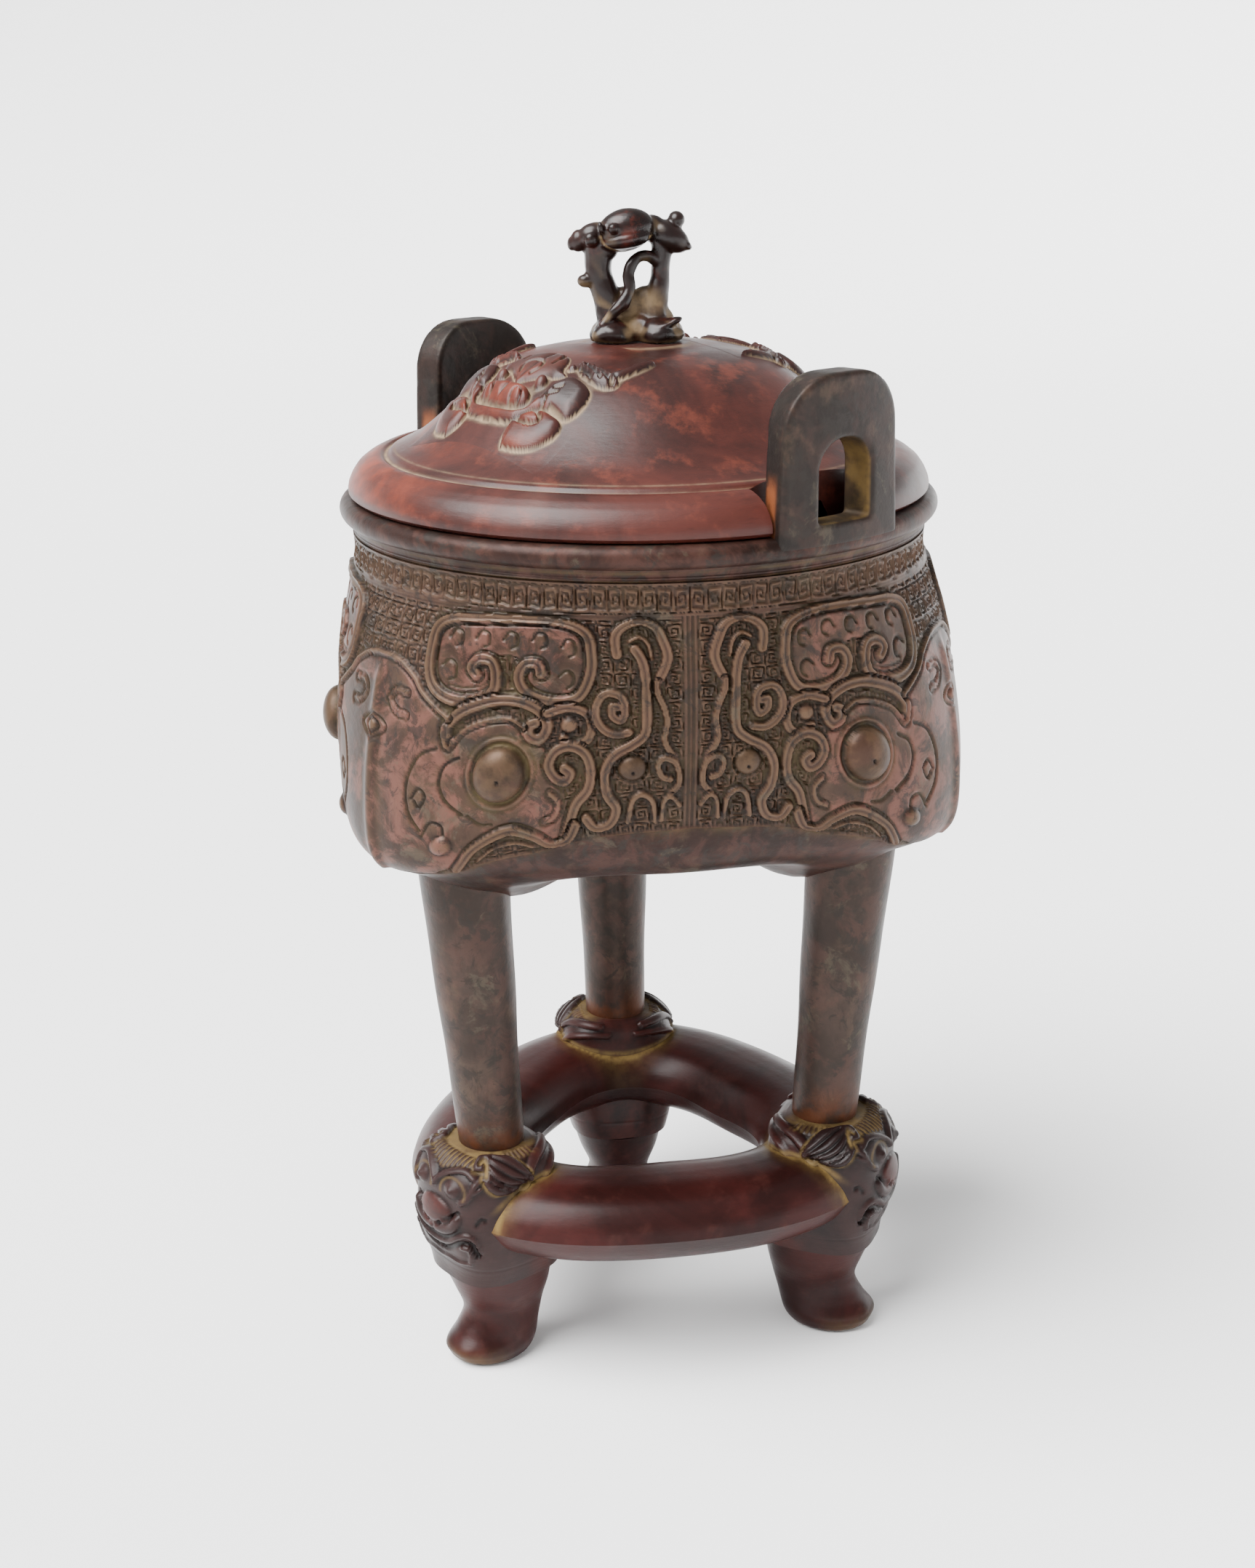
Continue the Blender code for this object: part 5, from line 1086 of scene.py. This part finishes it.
def head_relief(turn, step, lateral):
    """Height of the carving on a head in millimetres, with shares of golden dust and of worn red."""
    away_turn = np.abs(turn)
    x, y = away_turn * HEAD_SCALE[0], step * HEAD_SCALE[1]

    def from_path(points, reach):
        """Distance in millimetres from a path of the chart."""
        return distance_to_path(x, y, rounded_path(points) * HEAD_SCALE, reach)[0]

    # Hair combed back over the forehead, and strokes behind the ear
    hairline = np.interp(away_turn, (0, 16, 31, 37, 52, 60), (1.85, 1.48, 1.25, 1.20, 0.60, 0.0))
    hair = smooth_step((hairline - step) / 0.22) * smooth_step((step - 0.25) / 0.25)
    comb = 0.5 + 0.5 * np.cos(2 * np.pi * lateral / 1.45)
    behind = smooth_step((away_turn - 62) / 8) * smooth_step((118 - away_turn) / 8) * smooth_step((1.15 - step) / 0.3)
    strokes = 0.5 + 0.5 * np.cos(np.radians(away_turn * 360 / 6.6))
    height = 0.75 * hair * comb + 0.45 * behind * strokes * smooth_step(step / 0.2)
    gold = hair * (1.05 - 1.45 * comb) + behind * (0.75 - 0.7 * strokes)
    top = smooth_step((0.55 - step) / 0.3) * smooth_step((150 - away_turn) / 30)
    gold = np.clip(np.maximum(gold, 0.8 * top), 0, 1)
    # Eye in its socket
    eye_x, eye_y = HEAD_EYE[0] * HEAD_SCALE[0], HEAD_EYE[1] * HEAD_SCALE[1]
    socket = np.hypot((x - eye_x) / 5.0, (y - eye_y - 0.7) / 4.5)
    height = height * smooth_step((socket - 0.9) / 0.1) - 0.95 * smooth_step((1.0 - socket) / 0.30)
    gold = np.maximum(gold, 0.5 * smooth_step(1 - np.abs(socket - 0.84) / 0.14) * (y < eye_y + 2.2))
    ball = np.hypot(x - eye_x, y - eye_y)
    height = np.where(ball < 2.7, np.maximum(height, -0.6 + 1.55 * half_ball(ball / 2.7)), height)
    height = np.where(ball < 1.0, height + 0.55 * half_ball(ball), height)
    # Nose, ridges and ear
    bulb = np.hypot(x / 6.3, (y - HEAD_NOSE_STEP * HEAD_SCALE[1]) / 4.0)
    height = np.maximum(height, 1.9 * half_ball(bulb))
    for width, rise, points in HEAD_RIDGES:
        away = from_path(points, width * 1.6)
        moat = smooth_step(1 - np.abs(away - width * 0.60) / (width * 0.20))
        height = np.where(away > width / 2, height - 0.30 * moat, height)
        height = np.maximum(height, rise * half_ball(2 * away / width))
    ear = signed_distance(x, y, rounded_path(HEAD_EAR + HEAD_EAR[:1])[:-1] * HEAD_SCALE, 3.0)
    height = np.where(ear > 0, 0.45 + 1.25 * quarter_round(ear / 2.0), height * (1 - smooth_step((ear + 0.7) / 0.7)))
    gold = np.where(ear > 0, 0.0, np.maximum(gold, 0.75 * smooth_step((ear + 1.2) / 0.8) * (step < 2.9)))
    for width, depth, points in HEAD_CUTS:
        away = from_path(points, width * 1.5)
        height = height - depth * smooth_step((width / 2 + 0.25 - away) / 0.45)
    gold = np.maximum(gold, smooth_step(1.3 - from_path(HEAD_EAR_HOLE, 2.0) / 0.7))
    line = smooth_step(1 - np.abs(step - HEAD_JOINT_STEP) / 0.06)
    red = np.maximum(smooth_step((1.15 - bulb) / 0.3), 0.9 * smooth_step((away_turn - 84) / 24))
    return height - 0.25 * line, np.clip(gold, 0, 1), red


def stand_head(number, angle, material):
    """One carved beast head with its combed hair, face, ears and collar."""
    turns = np.arange(0, 360, HEAD_TURN_STEP) - 180.0
    turn_grid, step_grid = np.meshgrid(turns, np.linspace(len(HEAD_FRONT) - 1, 0, HEAD_ROWS))
    sheet = head_surface(turn_grid, step_grid)
    relief, gold, red = head_relief(turn_grid, step_grid, sheet[..., 1] / MM)
    outward = sheet * (1.0, 1.0, 0.0)
    outward /= np.linalg.norm(outward, axis=-1, keepdims=True)
    lift = 0.85 * smooth_step((1.9 - step_grid) / 1.5)[..., None]
    sheet = sheet + (relief * MM)[..., None] * (outward * (1 - lift) + np.array((0.0, 0.0, 1.0)) * lift)
    placed = turned(sheet + (HEAD_SPREAD, 0.0, HEAD_BASE_Z), angle)
    # Painted shade: the carving's hollows are darkened
    painted_shade = np.clip((blurred(relief, 3) - relief) * 2.2, 0, 1)
    joint = ring_closeness(placed) * smooth_step((4.2 - step_grid) / 1.2)
    head = turned_grid(f"stand_head_{number}", placed, material,
                       fields={"dust": np.maximum(gold, joint), "painted_shade": painted_shade, "red_and_glow": red})
    shade(head, 70.0)
    return head


def ring_distance(angle):
    """Distance of the ring's middle line from the vessel's axis."""
    angle = np.asarray(angle, float)
    swing = np.cos(np.radians(3 * (angle - LEG_ANGLES[0])))
    radius = RING_SIDE_DISTANCE + (RING_HEAD_DISTANCE - RING_SIDE_DISTANCE) * (1 + swing) / 2
    away = (angle - RING_BULGE_ANGLE + 180) % 360 - 180
    return radius + RING_LEFT_BULGE * np.exp(-(away / RING_BULGE_REACH) ** 2)


def ring_closeness(points):
    """Return 1 where points lie on the ring's crown, fading off it."""
    angle = np.degrees(np.arctan2(points[..., 1], points[..., 0]))
    across = (np.hypot(points[..., 0], points[..., 1]) - ring_distance(angle)) / (RING_WIDTH / 2)
    up = points[..., 2] - RING_ARRIS_Z
    up = np.where(up > 0, up / RING_CROWN_HEIGHT, up / RING_BELLY_DEPTH)
    level = np.hypot(across, up)
    return smooth_step(1 - np.abs(level - 1.06) / 0.09) * (points[..., 2] > RING_ARRIS_Z - 0.002)


def head_closeness(points):
    """Return 1 where points of the ring's crown lie on a head, fading off it."""
    nearest = np.zeros(points.shape[:-1])
    for angle in LEG_ANGLES:
        x, y, z = np.moveaxis(turned(points, -angle) - (HEAD_SPREAD, 0.0, HEAD_BASE_Z), -1, 0)
        step = np.interp(z / HEAD_HEIGHT, HEAD_SIDE[::-1, 1], np.arange(len(HEAD_SIDE))[::-1].astype(float))
        surface = head_surface(np.degrees(np.arctan2(y, x)), step)
        gap = np.hypot(x, y) - np.hypot(surface[..., 0], surface[..., 1])
        joint = smooth_step(1 - np.abs(gap - 0.0004) / 0.0013) + 0.3 * smooth_step(1 - gap / 0.006)
        nearest = np.maximum(nearest, joint)
    return nearest * (points[..., 2] > RING_ARRIS_Z - 0.001)


def ring_body(material):
    """The stand's ring: a domed crown and a shallow belly that meet at a crisp arris."""
    angles = np.arange(0, 360, 1.5)
    crown = rounded_path(((1.00, 0.00), (0.90, 0.38), (0.68, 0.76), (0.36, 0.96), (0.00, 1.00)), 5)
    belly = rounded_path(((0.00, -1.00), (0.42, -0.92), (0.78, -0.55), (1.00, 0.00)), 4)
    outline = [(x, y * RING_CROWN_HEIGHT) for x, y in crown]
    outline += [(-x, y * RING_CROWN_HEIGHT) for x, y in crown[-2::-1]]
    outline += [(-x, y * RING_BELLY_DEPTH) for x, y in belly[-2::-1]]
    outline += [(x, y * RING_BELLY_DEPTH) for x, y in belly[1:-1]]
    radius = ring_distance(angles)
    rows = []
    for across, up in outline:
        ring = ring_points(1.0, RING_ARRIS_Z + up, angles)
        ring[:, :2] *= (radius + across * RING_WIDTH / 2)[:, None]
        rows.append(ring)
    rows = np.array(rows)
    count, columns = rows.shape[:2]
    faces = [tuple(f) for f in grid_faces(count, columns, closed=True)]
    faces += [((count - 1) * columns + i, (count - 1) * columns + (i + 1) % columns, (i + 1) % columns, i)
              for i in range(columns)]
    mesh = make_mesh("stand_ring_body", rows, faces)
    store(mesh, "dust", head_closeness(rows).ravel())
    face_out(mesh)
    ring = link("stand_ring_body", mesh, material)
    shade(ring, 38.0)
    return ring


# Sections of a foot in shares of its height: level, inner and outer end, half width
FOOT_SECTIONS = np.array((
    (0.000, -0.24, 0.39, 0.27), (0.035, -0.33, 0.47, 0.335), (0.090, -0.385, 0.52, 0.368),
    (0.180, -0.42, 0.545, 0.385), (0.320, -0.46, 0.43, 0.345), (0.520, -0.52, 0.335, 0.330),
    (0.760, -0.57, 0.410, 0.430), (1.000, -0.60, 0.515, 0.500)))


def stand_foot(name, angle, material):
    """One short cabriole foot with its toe turned out."""
    around = np.radians(np.arange(0, 360, 6.0))
    rows, dusts = [], []
    for position in np.linspace(0, len(FOOT_SECTIONS) - 1, 50):
        share, inner, outer, half_width = spline(FOOT_SECTIONS, np.array(position))
        share = float(np.clip(share, 0.0, 1.0))
        x = HEAD_SPREAD + ((inner + outer) / 2 + (outer - inner) / 2 * np.cos(around)) * FOOT_HEIGHT
        y = half_width * FOOT_HEIGHT * np.sin(around)
        toe = smooth_step((0.30 - share) / 0.2) * smooth_step(np.cos(around)) * share / 0.2
        x = x - 0.0006 * toe * (0.5 + 0.5 * np.cos(7 * around))
        rows.append(turned(np.stack((x, y, np.full(x.shape, share * FOOT_HEIGHT)), axis=-1), angle))
        dusts.append(0.30 * smooth_step((0.26 - share) / 0.2) * smooth_step(np.cos(around) + 0.2))
    foot = turned_grid(name, rows, material, fields={"dust": np.array(dusts)})
    shade(foot, 45.0)
    return foot


# Materials

class Surface:
    """A Principled material and short calls for the nodes that feed it."""

    def __init__(self, name):
        """Make an empty material."""
        self.material = bpy.data.materials.new(name)
        self.material.use_nodes = True
        self.tree = self.material.node_tree
        self.shader = self.tree.nodes["Principled BSDF"]
        self.place = self.tree.nodes.new("ShaderNodeTexCoord").outputs["Object"]

    def node(self, kind, settings=None, **inputs):
        """Add a node and feed its inputs, each by its name or as i and its number."""
        made = self.tree.nodes.new(kind)
        for key, value in (settings or {}).items():
            setattr(made, key, value)
        for key, value in inputs.items():
            self.feed(made.inputs[int(key[1:]) if key[0] == "i" and key[1:].isdigit() else key], value)
        return made

    def feed(self, socket, value):
        """Set a socket or link another one to it."""
        if isinstance(value, bpy.types.NodeSocket):
            self.tree.links.new(value, socket)
        else:
            socket.default_value = value

    def noise(self, scale, detail, roughness, distortion=0.0, rise=1.0):
        """Noise in the object's own space, with heights scaled by rise."""
        place = self.place
        if rise != 1.0:
            place = self.node("ShaderNodeMapping", Vector=place, Scale=(1.0, 1.0, rise)).outputs[0]
        made = self.node("ShaderNodeTexNoise", Vector=place, Scale=scale, Detail=detail, Roughness=roughness,
                         Distortion=distortion)
        return made.outputs["Fac"]

    def range(self, value, low, high, to_low=0.0, to_high=1.0):
        """Map a range of values, clamped."""
        made = self.node("ShaderNodeMapRange", i0=value, i1=low, i2=high, i3=to_low, i4=to_high)
        made.interpolation_type = "SMOOTHSTEP"
        return made.outputs[0]

    def math(self, operation, first, second):
        """Do one sum and clamp it to 0 to 1."""
        return self.node("ShaderNodeMath", {"operation": operation, "use_clamp": True}, i0=first, i1=second).outputs[0]

    def times(self, first, second):
        """Multiply two numbers."""
        return self.math("MULTIPLY", first, second)

    def mix(self, factor, first, second):
        """Mix two colours."""
        return self.node("ShaderNodeMix", {"data_type": "RGBA"}, i0=factor, i6=first, i7=second).outputs[2]

    def attribute(self, name):
        """Read a number stored with the mesh."""
        return self.node("ShaderNodeAttribute", {"attribute_name": name}).outputs["Fac"]

    def bump(self, *layers):
        """Stack bump layers, each a height socket with a strength and a depth in metres."""
        normal = None
        for height, strength, depth in layers:
            made = self.node("ShaderNodeBump", Height=height, Strength=strength, Distance=depth)
            if normal is not None:
                self.feed(made.inputs["Normal"], normal)
            normal = made.outputs["Normal"]
        self.feed(self.shader.inputs["Normal"], normal)


# Looks. Colours are 8-bit screen colours, dimmed by one share to suit the bright studio.
COLOUR_SHARE = 0.47
OLIVE = (122, 104, 66)
COPPER = (168, 98, 62)
# Bronze: dark and light patina, dust, wear, and the share of pinkish patches (None: the mesh tells)
BRONZES = {
    "bronze_relief": ((58, 42, 35), (84, 63, 51), OLIVE, COPPER, None),
    "bronze_plain": ((40, 24, 19), (62, 38, 31), OLIVE, COPPER, 0.20),
    "bronze_legs": ((58, 46, 40), (76, 62, 55), OLIVE, (100, 58, 36), 0.15),
    # The handles' dust tone also lightens the lit inner wall of the loop, painted light
    "bronze_handles": ((36, 30, 27), (51, 43, 39), (140, 112, 66), COPPER, 0.08),
}
BRONZE_METALLIC = 0.35
BRONZE_SPECULAR = 0.18
# Wood: dark, middle and bright tone, dust, roughness, share of bright blotches, sheen, pale haze and worn red; on the
# cover this red also paints a glow where the light falls
WOODS = {
    "cover_polished": ((52, 24, 20), (92, 41, 32), (128, 62, 46), (192, 164, 130), 0.40, 0.60, 0.24,
                       (142, 94, 82), (172, 70, 38)),
    "finial_waxed": ((24, 12, 10), (46, 21, 16), (112, 44, 31), (150, 124, 90), 0.30, 0.50, 0.25, None, None),
    "ring_waxed": ((44, 19, 17), (70, 29, 26), (88, 50, 44), (140, 114, 66), 0.34, 0.35, 0.12, None, None),
    "heads_waxed": ((36, 21, 20), (56, 35, 33), (74, 48, 44), (134, 110, 68), 0.36, 0.40, 0.14,
                    None, (84, 40, 35)),
}
WOOD_COAT_ROUGHNESS = 0.30


def colour(red, green, blue):
    """Turn an 8-bit screen colour into dimmed linear light."""
    def linear(value):
        """Undo the screen's curve."""
        value /= 255.0
        return value / 12.92 if value <= 0.04045 else ((value + 0.055) / 1.055) ** 2.4
    return tuple(COLOUR_SHARE * linear(value) for value in (red, green, blue)) + (1.0,)


def bronze_material(name, *look):
    """Old bronze: brown patina with rubbed ridges, recesses darkened as painted shade, pinkish and grey-black patches
    and dust.
    """
    dark, light, dust_colour, wear_colour = (colour(*tone) for tone in look[:4])
    pink_share = look[4]
    relief = pink_share is None
    s = Surface(name)
    coarse = s.noise(38, 5, 0.6)
    middle = s.noise(130, 5, 0.6)
    fine = s.noise(600, 4, 0.6)
    base = s.mix(s.range(coarse, 0.35, 0.65), dark, light)
    base = s.mix(s.range(middle, 0.54, 0.72, 0.0, 0.40), base, colour(104, 84, 68))
    streak = s.noise(380, 5, 0.7, rise=0.35)
    base = s.mix(s.range(streak, 0.50, 0.66, 0.0, 0.55), base, dark)
    pink = s.range(s.noise(105, 6, 0.68, 0.6), 0.44, 0.60)
    if relief:
        base = s.mix(s.times(s.attribute("ridge"), 0.52), base, colour(132, 102, 76))
        pink = s.times(pink, s.range(s.attribute("face"), 0.0, 1.0, 0.10, 0.72))
    else:
        pink = s.times(pink, pink_share)
    base = s.mix(pink, base, colour(136, 90, 78))
    base = s.mix(s.range(s.noise(85, 5, 0.7, 0.5), 0.57, 0.66, 0.0, 0.45), base, colour(100, 92, 76))
    spots = s.times(s.range(s.noise(170, 6, 0.7, 0.8), 0.53, 0.61), 0.70)
    base = s.mix(spots, base, colour(52, 46, 42))
    # On the handles the dust mask also holds painted light on the lit wall of the loop
    dust = s.times(s.attribute("dust"), s.range(s.noise(95, 4, 0.6), 0.36, 0.62, 0.15, 1.0))
    if relief:
        boss = s.times(s.attribute("boss"), 0.8)
        base = s.mix(boss, base, s.mix(s.range(middle, 0.4, 0.6), colour(62, 46, 34), colour(94, 72, 52)))
        # Hollows darkened almost to black, painted shade
        base = s.mix(s.times(s.attribute("painted_shade"), 0.92), base, colour(22, 15, 13))
        dust = s.times(dust, 0.50)
    base = s.mix(dust, base, dust_colour)
    base = s.mix(s.times(s.attribute("wear"), s.range(middle, 0.35, 0.6)), base, wear_colour)
    s.feed(s.shader.inputs["Base Color"], base)
    s.shader.inputs["Metallic"].default_value = BRONZE_METALLIC
    s.shader.inputs["Specular IOR Level"].default_value = BRONZE_SPECULAR
    rough = s.range(coarse, 0.3, 0.7, 0.38, 0.52)
    rough = s.math("ADD", rough, s.times(dust, 0.3))
    s.feed(s.shader.inputs["Roughness"], rough)
    s.bump((middle, 0.35, 0.0006), (fine, 0.30, 0.00018))
    return s.material


def wood_material(name, *look):
    """Polished dark wood with soft mottling, fine grain and wax or dust in the recesses; with a red given, also red
    patches, on the cover partly a painted glow, and hollows darkened as painted shade.
    """
    dark, middle_tone, bright, dust_colour = (colour(*tone) for tone in look[:4])
    roughness, blotch, sheen, haze, red = look[4:]
    s = Surface(name)
    coarse = s.noise(26, 5, 0.6, 0.8)
    middle = s.noise(110, 5, 0.65)
    grain = s.noise(160, 5, 0.7, rise=6.0)
    base = s.mix(s.range(coarse, 0.36, 0.64), dark, middle_tone)
    if haze:
        base = s.mix(s.range(s.noise(17, 3, 0.5, 0.5), 0.50, 0.68, 0.0, 0.40), base, colour(*haze))
    base = s.mix(s.times(s.range(middle, 0.52, 0.70), blotch), base, bright)
    base = s.mix(s.times(s.range(grain, 0.52, 0.70), 0.35), base, dark)
    # Red patches: worn red, and on the cover partly a painted glow where the light falls
    if red:
        worn = s.times(s.attribute("red_and_glow"), s.range(middle, 0.34, 0.62, 0.15, 0.85))
        base = s.mix(worn, base, colour(*red))
        # Hollows darkened almost to black, painted shade
        base = s.mix(s.times(s.attribute("painted_shade"), 0.8), base, colour(16, 9, 8))
    dust = s.times(s.attribute("dust"), s.range(s.noise(240, 4, 0.6), 0.28, 0.62, 0.35, 1.0))
    base = s.mix(dust, base, dust_colour)
    s.feed(s.shader.inputs["Base Color"], base)
    rough = s.range(coarse, 0.3, 0.7, roughness - 0.05, roughness + 0.08)
    rough = s.math("ADD", rough, s.times(dust, 0.4))
    s.feed(s.shader.inputs["Roughness"], rough)
    s.shader.inputs["Specular IOR Level"].default_value = sheen
    s.shader.inputs["Coat Weight"].default_value = sheen / 4
    s.shader.inputs["Coat Roughness"].default_value = WOOD_COAT_ROUGHNESS
    s.bump((grain, 0.20, 0.0003), (middle, 0.18, 0.0005))
    return s.material


# Camera, light and floor

def camera():
    """Place the camera where the photograph was taken from, and return its right and forward directions."""
    azimuth, yaw, pitch, roll = (math.radians(v) for v in (CAMERA_AZIMUTH, CAMERA_YAW, CAMERA_PITCH, CAMERA_ROLL))
    forward = Vector((-math.sin(azimuth + yaw) * math.cos(pitch), math.cos(azimuth + yaw) * math.cos(pitch),
                      -math.sin(pitch)))
    right = forward.cross(Vector((0.0, 0.0, 1.0))).normalized()
    up = right.cross(forward)
    rolled_right = right * math.cos(roll) + up * math.sin(roll)
    rolled_up = up * math.cos(roll) - right * math.sin(roll)
    place = Vector((math.sin(azimuth) * CAMERA_DISTANCE, -math.cos(azimuth) * CAMERA_DISTANCE + AXIS_BEHIND_MIDDLE,
                    CAMERA_Z))
    lens = bpy.data.cameras.new("camera")
    lens.sensor_fit = "VERTICAL"
    lens.sensor_height = SENSOR_HEIGHT
    lens.lens = SENSOR_HEIGHT * CAMERA_FOCAL / PHOTO_HEIGHT
    eye = link("camera", lens)
    columns = (rolled_right, rolled_up, -forward, place)
    eye.matrix_world = Matrix([[c[i] for c in columns] for i in range(3)] + [[0, 0, 0, 1]])
    bpy.context.scene.camera = eye
    return rolled_right, forward


def studio():
    """Pale floor that sweeps up far away, pale surroundings and one wide soft light from the upper left."""
    right, forward = camera()
    sweep = [(0.3, 0.0), (0.7, 0.0), (1.2, 0.0), (2.0, 0.0)]
    sweep += [(2.0 + math.sin(math.radians(a)), 1.0 - math.cos(math.radians(a))) for a in range(8, 81, 8)]
    angles = np.arange(0, 360, 5.0)
    rows = np.array([ring_points(radius, height, angles) for radius, height in sweep])
    faces = [tuple(f[::-1]) for f in grid_faces(len(rows), len(angles), closed=True)]
    faces.append(tuple(range(len(angles))))
    s = Surface("floor_white")
    s.shader.inputs["Base Color"].default_value = (FLOOR_WHITE, FLOOR_WHITE, FLOOR_WHITE, 1.0)
    s.shader.inputs["Roughness"].default_value = 0.9
    s.shader.inputs["Specular IOR Level"].default_value = 0.1
    floor = link("floor", make_mesh("floor", rows, faces), s.material)
    floor.data.shade_smooth()
    world = bpy.data.worlds.new("studio")
    bpy.context.scene.world = world
    world.use_nodes = True
    sky = world.node_tree.nodes["Background"]
    sky.inputs["Color"].default_value = (1.0, 1.0, 1.0, 1.0)
    sky.inputs["Strength"].default_value = SKY_STRENGTH
    level = Vector((right.x, right.y, 0.0)).normalized()
    away = Vector((forward.x, forward.y, 0.0)).normalized()
    lamp = bpy.data.lights.new("key", "SUN")
    lamp.energy = SUN_STRENGTH
    lamp.angle = math.radians(SUN_ANGLE)
    key = link("key", lamp)
    across, back, up = SUN_PLACE
    key.location = across * level + back * away + Vector((0.0, 0.0, up))
    key.rotation_euler = (-key.location).to_track_quat("-Z", "Y").to_euler()


def place_pieces(pieces, node):
    """Ride the pieces on the one body and let them stand for a node."""
    for piece in pieces:
        piece.location.y = AXIS_BEHIND_MIDDLE
        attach(piece, "root")
        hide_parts(node)


def main():
    """Dress the incense burner."""
    relief_bronze, plain_bronze, leg_bronze, handle_bronze = (
        bronze_material(name, *look) for name, look in BRONZES.items())
    cover_wood, finial_wood, ring_wood, head_wood = (wood_material(name, *look) for name, look in WOODS.items())
    field = relief_field()
    panels = [relief_panel(f"relief_{number}", angle, field, relief_bronze)
              for number, angle in enumerate(LEG_ANGLES)]
    casting = [vessel_core(plain_bronze)]
    casting += [vessel_leg(f"vessel_leg_{number}", angle, leg_bronze) for number, angle in enumerate(LEG_ANGLES)]
    casting += [vessel_handle(f"vessel_handle_{label}", side, handle_bronze)
                for label, side in (("left", -1), ("right", 1))]
    place_pieces(panels + casting, "bronze_vessel")
    cover = [cover_body(cover_wood), cover_mask("cover_mask_front", 1, cover_wood),
             cover_mask("cover_mask_back", -1, cover_wood)]
    place_pieces(cover, "wood_cover")
    place_pieces([cover_finial(finial_wood)], "cover_finial")
    stand = [ring_body(ring_wood)]
    stand += [stand_head(number, angle, head_wood) for number, angle in enumerate(LEG_ANGLES)]
    place_pieces(stand, "stand_ring")
    for label, angle in zip(("front", "right", "left"), LEG_ANGLES):
        place_pieces([stand_foot(f"foot_{label}", angle, ring_wood)], f"stand_foot_{label}")
    studio()


main()
bpy.context.view_layer.update()
